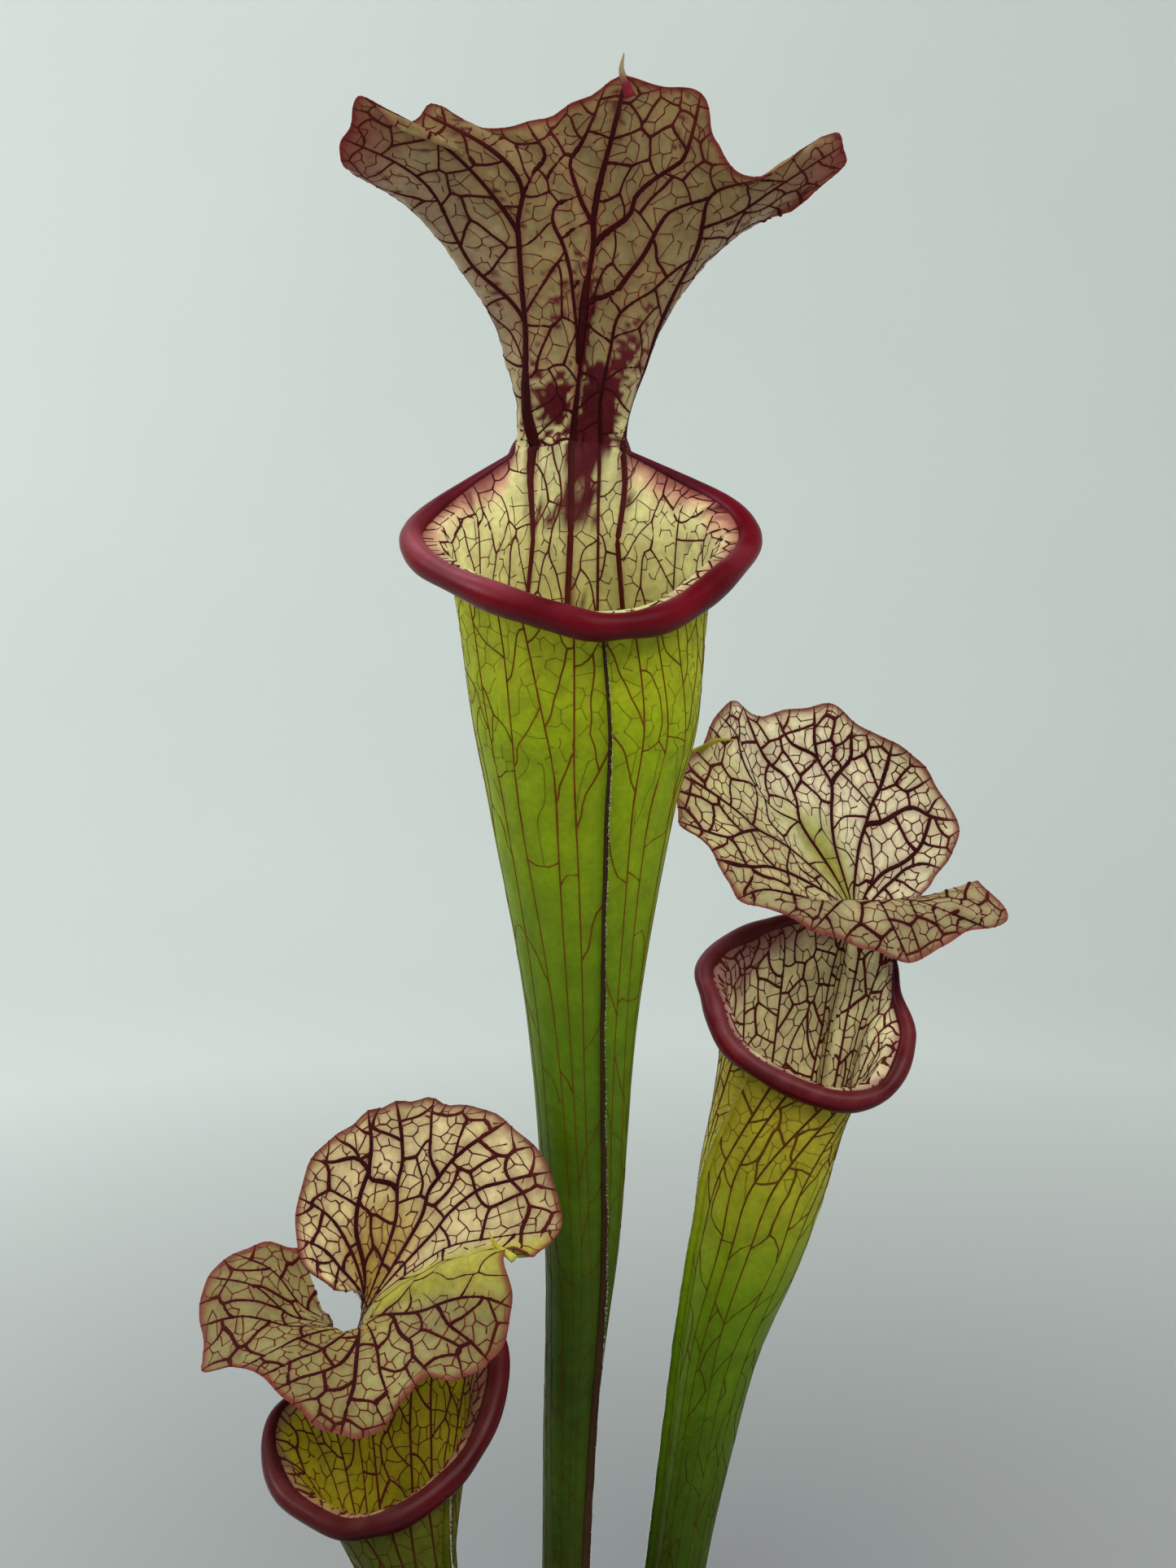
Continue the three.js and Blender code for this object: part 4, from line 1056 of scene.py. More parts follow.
def border_edges(weave, patch, offset, axis):
    """Grid edges of one direction: level at which their ends part, and where."""
    shape = patch.shape
    index = offset + np.arange(shape[0] * shape[1]).reshape(shape)
    first, second = (index[:-1], index[1:]) if axis == 0 else (index[:, :-1], index[:, 1:])
    level = np.full(first.shape, 3)
    for n in (2, 1, 0):
        level = np.where(weave.labels[n][first] != weave.labels[n][second], n, level)
    share = np.full(first.shape, 0.5)
    for n in (1, 2):
        there = (level == n) & (weave.labels[n][first] >= 0) & (weave.labels[n][second] >= 0)
        p, q = first[there], second[there]
        a, b = weave.labels[n][p], weave.labels[n][q]
        gain = weave.away(n - 1, p, b) - weave.away(n - 1, p, a)
        loss = weave.away(n - 1, q, a) - weave.away(n - 1, q, b)
        share[there] = np.clip(gain / np.maximum(gain + loss, 1e-9), 0.03, 0.97)
    us, vs = np.broadcast_to(patch.us[:, None], shape), np.broadcast_to(patch.vs[None, :], shape)
    if axis == 0:
        share = np.where(level == 0, wall_between(patch, level == 0), share)
        u = us[:-1, :] + (us[1:, :] - us[:-1, :]) * share
        return level, np.stack([u, vs[:-1, :]], axis=2)
    v = vs[:, :-1] + (vs[:, 1:] - vs[:, :-1]) * share
    return level, np.stack([us[:, :-1], v], axis=2)


def wall_between(patch, chosen):
    """Where a heavy vein cuts the grid edges that run across the leaf."""
    share = np.full(chosen.shape, 0.5)
    for i, j in np.argwhere(chosen):
        between = patch.walls[:, j]
        between = between[(between >= patch.us[i]) & (between < patch.us[i + 1])]
        if len(between):
            share[i, j] = (between[0] - patch.us[i]) / (patch.us[i + 1] - patch.us[i])
    return share


def border_graph(edges_u, edges_v, level):
    """Nodes and links of one order of veins over a grid."""
    (level_u, place_u), (level_v, place_v) = edges_u, edges_v
    four_levels = np.stack([level_u[:, :-1], level_v[1:, :], level_u[:, 1:], level_v[:-1, :]], axis=2)
    four_places = np.stack([place_u[:, :-1], place_v[1:, :], place_u[:, 1:], place_v[:-1, :]], axis=2)
    own = four_levels == level
    wall = four_levels < level
    nodes, fixed, links, number = [], [], [], {}

    def node_of(key, place, held):
        if key not in number:
            number[key] = len(nodes)
            nodes.append(place)
            fixed.append(held)
        return number[key]

    for i, j in np.argwhere(own.any(axis=2)):
        keys = ((0, i, j), (1, i + 1, j), (0, i, j + 1), (1, i, j))
        ends = [node_of(keys[n], four_places[i, j, n], False) for n in range(4) if own[i, j, n]]
        if len(ends) == 2 and not wall[i, j].any():
            links.append(ends)
            continue
        group = wall[i, j] if wall[i, j].any() else own[i, j]
        middle = node_of((2, i, j), four_places[i, j][group].mean(axis=0), bool(wall[i, j].any()))
        links += [[end, middle] for end in ends]
    return np.array(nodes), np.array(fixed), np.array(links)


def relax(nodes, fixed, links):
    """Evens out the small steps that the grid leaves in the lines."""
    degree = np.bincount(links.ravel(), minlength=len(nodes))
    free = (~fixed) & (degree > 1)
    for _ in range(RELAX_ROUNDS):
        mean = neighbour_mean(nodes, links, degree)
        nodes = np.where(free[:, None], nodes * 0.5 + mean * 0.5, nodes)
    return nodes


def chains(nodes, links):
    """Rows of nodes from one joint or end to the next."""
    near = [[] for _ in nodes]
    for a, b in links:
        near[a].append(b)
        near[b].append(a)
    used = set()
    found = []
    for start in [n for n in range(len(nodes)) if len(near[n]) != 2]:
        for step in near[start]:
            if (start, step) in used:
                continue
            row = [start, step]
            used.update(((start, step), (step, start)))
            while len(near[row[-1]]) == 2:
                a, b = near[row[-1]]
                following = b if a == row[-2] else a
                if (row[-1], following) in used:
                    break
                used.update(((row[-1], following), (following, row[-1])))
                row.append(following)
            found.append(nodes[row])
    return found


# %% [markdown]
# ## Veins as fine ridges
#
# A vein stands a little proud on both faces of the thin leaf. Each line of the net is
# laid on the sheet as a narrow strip with a six-sided section that pokes through both
# faces by a tenth or two of a millimetre. Its edge stays crisp at any distance, which a
# painted line on a coarse skin doesn't.

# %% Lines on the sheets
LINE_STEPS = (1.3, 1.12, 0.92)
HOOD_READS = 160
TUBE_READS = 200
MAIN_SCALE = 1.08
TUBE_MAIN = 0.7
LOOP_RISE = 0.35
LOOP_DEPTH = 45.0


def even_line(leaf, part, places, step):
    """A row of places resampled at even steps in space."""
    sheet = leaf[part]
    if part == "tube":
        places = np.stack([(FRONT - places[:, 0]) % 360.0, places[:, 1]], axis=1)
    points = sheet.at(places)
    run = np.concatenate([[0], np.cumsum(np.linalg.norm(np.diff(points, axis=0), axis=1))])
    count = max(2, int(round(run[-1] / step)) + 1)
    even = np.linspace(0, run[-1], count)
    u = np.degrees(np.unwrap(np.radians(places[:, 0]))) if part == "tube" else places[:, 0]
    line = np.stack([np.interp(even, run, u), np.interp(even, run, places[:, 1])], axis=1)
    if part == "tube":
        line[:, 0] %= 360.0
    return line, run[-1]


def main_lines(leaf):
    """Heavy veins of the hood, and their continuations in the tube."""
    hood, tube, mains = leaf["hood"], leaf["tube"], leaf["mains"]
    rows = np.linspace(0, hood.vs[-1], HOOD_READS)
    walls = main_rows(mains, rows)
    lines = []
    for j, main in enumerate(mains):
        low = main["path"][0][1] if "on" in main else 0.0
        high = main["path"][-1][1] if "into" in main else rows[-1]
        there = (rows >= low - 0.02) & (rows <= high + 0.02)
        path = np.stack([walls[j][there], rows[there]], axis=1)
        line, _ = even_line(leaf, "hood", path, LINE_STEPS[0])
        share = np.linspace(0, 1, len(line))
        wide = main["wide"][0] + (main["wide"][1] - main["wide"][0]) * share ** 0.8
        base = leaf["base_wide"]
        wide = wide * (base + (1 - base) * smoothstep(line[:, 1], 0.2, 1.8)) * MAIN_SCALE
        lines.append(("hood", line, wide, 0))
    rows = np.linspace(0.3, tube.vs[-1], TUBE_READS)
    walls = tube_rows(leaf, rows)
    first = len(FRONT_LEFT)
    roots = {first + j: main["wide"][0] for j, main in enumerate(mains) if "on" not in main}
    before = walls[first - 1]
    for j in range(len(walls)):
        inner = first <= j < len(walls) - len(FRONT_RIGHT)
        if inner and j not in roots:
            continue
        there = np.ones(len(rows), bool)
        if inner:
            there = walls[j] - before > 0.05
            there[:-1] |= there[1:]
            before = walls[j]
        if there.sum() < 3:
            continue
        path = np.stack([walls[j][there], rows[there]], axis=1)
        line, _ = even_line(leaf, "tube", path, LINE_STEPS[0])
        near_ring = smoothstep(line[:, 1], tube.vs[-1] - 2.2, tube.vs[-1])
        top = leaf["front_wide"]
        if j in roots:
            top = roots[j] * (TUBE_MAIN + (leaf["base_wide"] * MAIN_SCALE - TUBE_MAIN) * near_ring)
        fade = smoothstep(line[:, 1] / tube.vs[-1], *leaf["fade"])
        lines.append(("tube", line, np.maximum(top * (0.25 + 0.75 * fade ** 1.5), 0.12), 0))
    return lines


def net_lines(weave):
    """Veins of the second and third order."""
    lines = []
    offset = 0
    for patch in weave.patches:
        edges_u = border_edges(weave, patch, offset, 0)
        edges_v = border_edges(weave, patch, offset, 1)
        offset += patch.shape[0] * patch.shape[1]
        for order in (1, 2):
            nodes, fixed, links = border_graph(edges_u, edges_v, order)
            if len(links) == 0:
                continue
            nodes = relax(nodes, fixed, links)
            for row in chains(nodes, links):
                lines.append((patch.part, row, order))
    return lines


def no_mark(k, v):
    """No fold or ridge anywhere."""
    return np.zeros(np.broadcast(k, v).shape)


def right_crease(k, v):
    """Green fold of the right hood, which wanders from rib to rib."""
    centre = np.interp(v, [1.0, 2.0, 2.4, 3.0, 3.4, 4.0], [6.9, 7.2, 7.9, 8.35, 8.8, 9.0])
    wide = np.interp(v, [1.0, 2.0, 3.0, 4.0], [3.4, 1.3, 0.6, 0.35])
    strength = (0.95 - 0.6 * smoothstep(v, 1.6, 2.8))
    return np.exp(-((k - centre) / wide) ** 2) * strength * (1 - smoothstep(v, 3.2, 4.4))


def left_ridge(k, v):
    """Bright yellow ridge of the left hood, bare of heavy veins."""
    return 0.95 * smoothstep(k, 12.4, 13.8) * (1 - smoothstep(k, 15.3, 16.0)) * smoothstep(v, 0.2, 1.2)


def is_loop(tube, line, length):
    """Whether a line low on the tube runs round it and not along it."""
    ends = tube.at(line[[0, -1]])[:, 2]
    deep = tube.points[:, -1, 2].min() - ends.max() > LOOP_DEPTH
    return deep and abs(ends[1] - ends[0]) < LOOP_RISE * length


def leaf_lines(leaf, weave):
    """All vein lines of a leaf: sheet, places, widths and order."""
    rng = np.random.default_rng(leaf["seed"] + 4)
    lines = main_lines(leaf)
    for part, row, order in net_lines(weave):
        line, length = even_line(leaf, part, row, LINE_STEPS[order])
        if length < 0.2:
            continue
        if order == 2 and rng.uniform() < leaf["gaps"][0]:
            continue
        if part == "tube" and is_loop(leaf["tube"], line, length):
            continue
        if order == 2 and part == "hood" and leaf["bare"](line[:, 0], line[:, 1]).mean() > 0.45:
            continue
        if order == 2 and length > 1.2 and rng.uniform() < leaf["gaps"][1]:
            keep = max(2, int(len(line) * rng.uniform(0.5, 0.85)))
            line = line[:keep] if rng.uniform() < 0.5 else line[-keep:]
        base = leaf["vein_wide"][part][order - 1] * rng.uniform(0.82, 1.2)
        ends = np.abs(np.linspace(-1, 1, len(line))) ** 3
        wide = base * (1 + 0.22 * ends)
        if part == "hood":
            wide = wide * (1 - 0.6 * leaf["bare"](line[:, 0], line[:, 1]))
        if part == "tube":
            fade = smoothstep(line[:, 1] / leaf["tube"].vs[-1], *leaf["fade"])
            wide = wide * (0.45 + 0.55 * fade)
        lines.append((part, line, wide, order))
    return lines


# %% Grow the nets
def size_cells(leaf, hood, tube):
    """Cell sizes and shapes over both patches."""
    t = np.broadcast_to((hood.vs / hood.vs[-1])[None, :], hood.shape)
    sizes = leaf["cells"]
    hood.coarse_size = np.interp(t, [0, 0.5, 0.85, 1], sizes["hood"])
    hood.coarse_stretch = np.interp(t, [0, 0.5, 1], [2.6, 1.8, 1.15])
    hood.fine_size = np.interp(t, [0, 0.5, 1], sizes["hood_fine"])
    hood.fine_stretch = np.full(hood.shape, 1.15)
    depth = np.broadcast_to(tube.depth[None, :], tube.shape)
    ring = np.linalg.norm(np.diff(tube.points, axis=0), axis=2).sum(axis=0)
    narrow = np.broadcast_to(np.minimum(ring / 16.0, 6.0)[None, :], tube.shape)
    tube.coarse_size = np.minimum(np.interp(depth, [0, 12, 60], sizes["tube"]), narrow)
    tube.coarse_stretch = np.interp(depth, [0, 14, 60, 140], sizes["tube_stretch"])
    fine = np.interp(depth, [0, 30], sizes["tube_fine"])
    tube.fine_size = np.where(depth < sizes["fine_depth"], fine, NO_CELLS)
    tube.fine_stretch = np.full(tube.shape, 1.3)


COARSE_TRIES = 2600
FINE_TRIES = 12000
TALL_CELLS = {"hood": [3.0, 5.4, 4.6, 3.6], "hood_fine": [1.9, 2.5, 2.2], "tube": [3.4, 3.8, 5.4],
              "tube_stretch": [2.0, 4.2, 7.5, 9.0], "fine_depth": 40.0, "tube_fine": [2.0, 2.6]}
SMALL_CELLS = {"hood": [2.6, 5.2, 4.4, 3.2], "hood_fine": [1.7, 2.2, 1.9], "tube": [3.0, 3.4, 4.6],
               "tube_stretch": [1.5, 2.4, 4.5, 6.0], "fine_depth": 36.0, "tube_fine": [1.8, 2.3]}
LEFT_CELLS = {**SMALL_CELLS, "tube": [3.4, 3.4, 4.6], "tube_stretch": [1.5, 4.4, 5.0, 6.0]}
TALL.update({"mains": TALL_MAINS, "cells": TALL_CELLS, "gaps": (0.1, 0.35), "fade": (0.3, 0.85),
             "vein_wide": {"hood": (0.56, 0.25), "tube": (0.42, 0.22)}, "bare": no_mark,
             "front_wide": 0.45, "group": 9.0, "base_wide": 1.0})
RIGHT.update({"mains": RIGHT_MAINS, "cells": SMALL_CELLS, "gaps": (0.04, 0.12), "fade": (0.3, 0.9),
              "vein_wide": {"hood": (0.68, 0.31), "tube": (0.56, 0.28)}, "bare": right_crease,
              "front_wide": 0.6, "group": 17.0, "base_wide": 0.42})
LEFT.update({"mains": LEFT_MAINS, "cells": LEFT_CELLS, "gaps": (0.05, 0.15), "fade": (0.1, 0.8),
             "vein_wide": {"hood": (0.68, 0.31), "tube": (0.5, 0.25)}, "bare": left_ridge,
             "front_wide": 0.6, "group": 17.0, "base_wide": 0.42})
for leaf in (TALL, RIGHT, LEFT):
    patches = [hood_patch(leaf), tube_patch(leaf)]
    size_cells(leaf, *patches)
    weave = Weave(patches, leaf["seed"] + 2)
    weave.divide(0, COARSE_TRIES)
    weave.divide(1, FINE_TRIES)
    leaf["lines"] = leaf_lines(leaf, weave)
    orders = [order for _, _, _, order in leaf["lines"]]
    print(leaf["name"], "vein lines by order:", [orders.count(n) for n in range(3)])

# %% Distance of the skin from the veins
HALO_REACH = 0.7
NEIGHBOURS = 6
PUFF = 0.3


def vein_masks(leaf):
    """For each point of the grids, how near the closest vein is and how near a heavy one."""
    places, widths = [], []
    for part, line, wide, _ in leaf["lines"]:
        sheet = leaf[part]
        places.append(sheet.at(line))
        widths.append(wide)
    places = np.concatenate(places)
    widths = np.concatenate(widths)
    tree = KDTree(len(places))
    for i, place in enumerate(places):
        tree.insert(place, i)
    tree.balance()
    for part in ("hood", "tube"):
        sheet = leaf[part]
        away, halo = [], []
        for point in sheet.points.reshape(-1, 3):
            found = [(d - widths[i] / 2, widths[i]) for _, i, d in tree.find_n(point, NEIGHBOURS)]
            away.append(min(d for d, _ in found))
            halo.append(max(math.exp(-max(d, 0.0) / HALO_REACH) * min(w, 1.2) for d, w in found))
        leaf[part + "_away"] = np.array(away).reshape(sheet.points.shape[:2])
        leaf[part + "_halo"] = np.array(halo).reshape(sheet.points.shape[:2])


def puff_cells(leaf):
    """Lifts the cells between the veins a little, away from the viewer of the inside."""
    for part, share in (("hood", 1.0), ("tube", 0.35)):
        sheet = leaf[part]
        lift = PUFF * share * smoothstep(leaf[part + "_away"], 0.1, 1.9)
        if part == "hood":
            lift = lift * smoothstep(sheet.vs / sheet.vs[-1], 0.0, 0.25)[None, :]
        else:
            lift = lift * (1 - smoothstep(sheet.vs, sheet.vs[-1] - 0.6, sheet.vs[-1]))[None, :]
        sheet.points = sheet.points + sheet.normals * (lift * leaf["puff_way"])[..., None]
        sheet.refresh()


for leaf, way in ((TALL, 1.0), (RIGHT, -1.0), (LEFT, -1.0)):
    leaf["puff_way"] = way
    vein_masks(leaf)
    puff_cells(leaf)
    print(leaf["name"], "skin points near a vein:", int((leaf["hood_away"] < 0.3).sum()))

# %% [markdown]
# ## The skin
#
# The joined sheet gets its two faces, and the faces are joined round the margin. The
# colour of a leaf follows its form: green below, yellow at the throat, cream between the
# veins, red beside them and along every margin. So it is worked out point by point and
# stored on the mesh, where the finish reads it.

# %% Leaf colours
# Dark green of the tube's foot: its own green, deepened as painted shade.
DEEP_GREEN_AND_SHADE = (0.020, 0.048, 0.0006)
LEAF_GREEN = (0.10, 0.19, 0.001)
LIME = (0.29, 0.38, 0.003)
THROAT_YELLOW = (0.62, 0.56, 0.03)
INNER_YELLOW = (0.42, 0.36, 0.012)
TALL_HOOD = (0.33, 0.26, 0.11)
TALL_WINGS = (0.53, 0.40, 0.27)
FAR_CREAM = (0.95, 0.88, 0.58)
SHADED_NEAR_CREAM = (0.72, 0.66, 0.32)
# Cream of the right hood's near lobes: the far cream darkened as painted shade.
LOBE_OLIVE = (0.48, 0.44, 0.22)
DRAPE_OLIVE = (0.39, 0.37, 0.135)
BASAL_OLIVE = (0.33, 0.31, 0.12)
FAR_YELLOW = (0.84, 0.72, 0.37)
RIDGE_YELLOW = (0.47, 0.44, 0.065)
CREASE_GREEN = (0.33, 0.36, 0.04)
FOOT_BROWN = (0.40, 0.27, 0.025)
MOUTH_CREAM = (1.0, 0.98, 0.48)
HALO_RED = (0.26, 0.05, 0.03)
BLOTCH_MAROON = (0.105, 0.006, 0.014)
EDGE_PURPLE = (0.085, 0.010, 0.022)
EDGE_RED = (0.21, 0.015, 0.030)
TIP_RED = (0.23, 0.018, 0.032)
LIP_CRIMSON = (0.145, 0.0015, 0.008)
# Dark crimson for the lip's darker patches and for its painted shade underneath.
LIP_DARK_AND_SHADE = (0.055, 0.001, 0.003)
# Pale pink for the painted sheen on the lip's upper side.
PAINTED_LIP_SHEEN = (0.25, 0.055, 0.075)
VEIN_MAROON = (0.034, 0.004, 0.005)
VEIN_DARK_RED = (0.048, 0.005, 0.005)
VEIN_RED = (0.125, 0.018, 0.012)
VEIN_BROWN = (0.15, 0.032, 0.004)
LOW_VEIN = (0.085, 0.022, 0.003)
HORN_YELLOW = (0.40, 0.32, 0.03)


def blend(first, second, share):
    """Two colours, or lists of colours, mixed by shares."""
    share = np.asarray(share)[..., None]
    return np.asarray(first) * (1 - share) + np.asarray(second) * share


def outside_paint(leaf, points):
    """Colour of the tube's outside: dark green foot, partly painted shade, lime wall, yellow under the
    lip, all darkened by the leaf's painted shade.
    """
    share_up = (points[..., 2] - SOIL_TOP) / leaf["tube_top"]
    paint = blend(DEEP_GREEN_AND_SHADE, LEAF_GREEN, smoothstep(share_up, 0.46, 0.76))
    paint = blend(paint, LIME, smoothstep(share_up, 0.66, 0.92))
    paint = blend(paint, leaf["throat"], 0.85 * smoothstep(share_up, *leaf["throat_reach"]))
    patches = 0.5 + 0.5 * ripple(points, 26.0, leaf["seed"] + 5)
    low = 0.2 * patches * (1 - smoothstep(share_up, 0.7, 1.0))
    # The leaf's shade factor darkens the whole outside: painted shade, only on the left leaf.
    return blend(paint, LEAF_GREEN, low) * leaf["shade"]


def round_values(pairs, degrees):
    """Values given at a few angles round the mouth, read at others."""
    angles, values = np.array(sorted(pairs), float).T
    angles = np.concatenate([angles - 360, angles, angles + 360])
    return np.interp(degrees, angles, np.tile(values, 3))


def lip_band(leaf, tube):
    """How far a tube point is into the coloured band inside the lip, 0 at the lip."""
    down = np.linalg.norm(tube.points - tube.points[:, -1:, :], axis=2)
    wide = round_values(leaf["band"], tube.us)[:, None]
    streaks = ripple(tube.points * [1.0, 1.0, 0.35], 4.5, leaf["seed"] + 12)
    return down / (wide * (1 + 0.22 * streaks))


# %% Two faces and a margin
def wall_grid(leaf, part):
    """Half thickness of the sheet at each grid point."""
    sheet = leaf[part]
    shape = sheet.points.shape[:2]
    if part == "tube":
        return np.full(shape, TUBE_HALF_WALL)
    near = smoothstep(sheet.vs / sheet.vs[-1], 0.7, 1.0)[None, :].repeat(shape[0], axis=0)
    return BLADE_HALF_WALL + (MARGIN_HALF_WALL - BLADE_HALF_WALL) * near


STAIN_SPECKS = 0.3
RIM_WIDE = 1.7


def stain_paint(leaf, points, paint, share):
    """Paint with the leaf's maroon stain over it, ragged at its edge."""
    ragged = ripple(points, 1.9, leaf["seed"] + 7) + ripple(points, 7.0, leaf["seed"] + 8)
    return blend(paint, BLOTCH_MAROON, smoothstep(share + STAIN_SPECKS * ragged, 0.38, 0.62))


def hood_paint(leaf):
    """Colour of the hood over its grid."""
    hood = leaf["hood"]
    v = hood.vs[None, :]
    t = v / hood.vs[-1]
    k = hood.us[:, None]
    shape = hood.points.shape[:2]
    keys = [pair[0] for pair in leaf["grounds"]]
    tones = np.array([pair[1] for pair in leaf["grounds"]])
    ground = np.stack([np.interp(hood.us, keys, tones[:, n]) for n in range(3)], axis=1)
    paint = np.broadcast_to(ground[:, None, :], (*shape, 3))
    cloudy = 0.5 + 0.5 * ripple(hood.points, 16.0, leaf["seed"] + 6)
    paint = paint * (1 - 0.22 * cloudy[..., None])
    paint = blend(paint, leaf["mouth_colour"], 0.68 * (1 - smoothstep(v, 0.2, 2.0)) * np.ones(shape))
    for tone, mark in leaf["marks"]:
        paint = blend(paint, tone, np.clip(mark(k, v), 0, 1) * np.ones(shape))
    halo = leaf["hood_halo"] * leaf["halo"]
    paint = blend(paint, HALO_RED, np.clip(halo, 0, 0.8))
    if leaf["stain"]:
        paint = stain_paint(leaf, hood.points, paint, leaf["stain"](k, v))
    rib = np.linalg.norm(hood.points - hood.points[:, -1:, :], axis=2)
    rim = 1 - smoothstep(rib, 0.2, RIM_WIDE)
    paint = blend(paint, EDGE_RED, 0.9 * rim)
    ends = np.minimum(k - hood.us[0], hood.us[-1] - k) * hood.scale_u.mean()
    side = (1 - smoothstep(ends, 0.2, 2.6)) * (1 - smoothstep(t, 0.1, 0.75))
    return blend(paint, EDGE_PURPLE, 0.85 * side)


def tube_paint(leaf, inner):
    """Colour of one face of the tube over its grid."""
    tube = leaf["tube"]
    v = np.broadcast_to(tube.vs[None, :], tube.points.shape[:2])
    last = tube.vs[-1]
    if not inner:
        paint = outside_paint(leaf, tube.points)
        return blend(paint, VEIN_BROWN, np.clip(0.22 * leaf["tube_halo"], 0, 0.3))
    paint = blend(INNER_YELLOW, leaf["mouth_colour"], smoothstep(v, last - leaf["mouth_rows"], last - 0.4))
    halo = leaf["tube_halo"] * leaf["halo"] * smoothstep(v, last - 2.5, last - 0.5)
    paint = blend(paint, HALO_RED, np.clip(halo, 0, 0.7))
    low, high = leaf["column"]
    back = np.minimum(tube.us - low, high - tube.us)
    outer = smoothstep(back, -10.0, 6.0)[:, None]
    paint = paint * (1 - leaf["neck_shade"] * smoothstep(v, last - 2.2, last) * (1 - outer))[..., None]
    band = lip_band(leaf, tube)
    paint = blend(paint, leaf["band_tone"], 0.85 * (1 - smoothstep(band, 0.6, 1.3)) * outer)
    paint = blend(paint, LIP_CRIMSON, 0.95 * (1 - smoothstep(band, 0.05, leaf["band_red"])) * outer)
    if leaf["stain"]:
        off = ((tube.us + 180.0) % 360.0 - 180.0)[:, None]
        paint = stain_paint(leaf, tube.points, paint, leaf["tube_stain"](leaf, off, last - v))
    return paint


# %% Mesh helpers
def mesh_piece(name, points, faces, paint=None, hood_mask=None):
    """New smooth piece from points in millimetres, with its painted colour and mask."""
    data = bpy.data.meshes.new(name)
    data.from_pydata((np.asarray(points) * MM).tolist(), [], [tuple(map(int, f)) for f in faces])
    if paint is not None:
        colours = data.attributes.new("paint", "FLOAT_COLOR", "POINT")
        full = np.concatenate([np.clip(paint, 0, 1), np.ones((len(paint), 1))], axis=1)
        colours.data.foreach_set("color", full.ravel())
    if hood_mask is not None:
        data.attributes.new("hood", "FLOAT", "POINT").data.foreach_set("value", hood_mask)
    data.update()
    piece = take_in(name, data)
    bpy.ops.object.shade_smooth()
    return piece


def dress(piece, material, replaced=()):
    """Gives a piece its finish, its body and the plain nodes that it stands for."""
    piece.data.materials.clear()
    piece.data.materials.append(material)
    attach(piece, "root")
    if replaced:
        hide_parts(*replaced)
    print(piece.name, "triangles:", sum(len(p.vertices) - 2 for p in piece.data.polygons))


def build_skin(leaf):
    """One closed skin for a whole leaf."""
    number, front, _, faces, margin, foot = skin_sheet(leaf)
    tube, hood = leaf["tube"], leaf["hood"]
    points = gather(number, front, tube.points, hood.points)
    normals = gather(number, front, tube.normals, hood.normals)
    wall = gather(number, front, wall_grid(leaf, "tube"), wall_grid(leaf, "hood"))[:, None]
    hood_tones = hood_paint(leaf)
    paint = np.concatenate([gather(number, front, tube_paint(leaf, inner), hood_tones)
                            for inner in (False, True)])
    on_hood = gather(number, front, np.zeros(tube.points.shape[:2]),
                     smoothstep(hood.vs, 0.0, 1.2)[None, :].repeat(len(hood.us), axis=0))
    count = len(points)
    both = np.concatenate([points + normals * wall, points - normals * wall])
    all_faces = list(faces) + [tuple(i + count for i in reversed(f)) for f in faces]
    for loop in (margin, list(reversed(foot))):
        for a, b in zip(loop, loop[1:] + loop[:1]):
            all_faces.append((a, b, b + count, a + count))
    piece = mesh_piece(leaf["name"] + "_skin", both, all_faces, paint, np.tile(on_hood, 2))
    dress(piece, SKIN, (leaf["name"],))


# %% [markdown]
# ## Finish of the skin
#
# The painted colour is only the ground. Over it the finish lays the finest net of
# veins, which a cell pattern gives as the distance from a cell's edge, a cloudy tone,
# fine specks and a soft relief. The leaf is thin and juicy, so a little light spreads
# under its surface.

# %% Skin finish
FINE_CELL = 520.0
GRAIN = 2600.0


def skin_finish():
    """Leaf skin: painted ground, finest net, cloudy tone, faint grain."""
    f = Finish("leaf_skin")
    cell = f.node("TexVoronoi", {"Vector": f.drawn(1.0, 1.0, 0.45), "Scale": FINE_CELL},
                  feature="DISTANCE_TO_EDGE").outputs["Distance"]
    line = f.ramp(cell, 0.0, 0.14, 1.0, 0.0)
    broken = f.ramp(f.noise(330.0, 2.0), 0.45, 0.62)
    share = f.ramp(f.painted("hood", "Fac"), 0.0, 1.0, 0.04, 0.2)
    tone = f.shade(f.painted("paint", "Color"), f.uneven(240.0, 0.82, 1.14, 4.0))
    tone = f.shade(tone, f.ramp(f.noise(900.0, 1.0), 0.35, 0.65, 0.93, 1.06))
    tone = f.mix(f.times(f.times(line, broken), share), tone, (0.16, 0.05, 0.03))
    relief = f.bump(cell, 0.0003, 0.35, f.bump(f.noise(GRAIN, 2.0), 0.00005, 0.5))
    return f.surface(tone, f.uneven(160.0, 0.40, 0.54), relief, Subsurface_Weight=0.5,
                     Subsurface_Radius=(1.0, 0.8, 0.3), Subsurface_Scale=0.0012,
                     Specular_IOR_Level=0.12)


def vein_finish():
    """Vein: painted colour with a slight uneven tone."""
    f = Finish("vein")
    tone = f.shade(f.painted("paint", "Color"), f.uneven(420.0, 0.8, 1.2))
    return f.surface(tone, f.uneven(300.0, 0.42, 0.6), Specular_IOR_Level=0.05)


def lip_finish():
    """Rolled lip: smooth crimson wax with darker and paler stretches."""
    f = Finish("lip_gloss")
    tone = f.shade(f.painted("paint", "Color"), f.uneven(95.0, 0.72, 1.35, 4.0))
    return f.surface(tone, f.ramp(f.noise(120.0), 0.35, 0.7, 0.26, 0.42),
                     f.bump(f.noise(900.0), 0.0001, 0.5), Specular_IOR_Level=0.11)


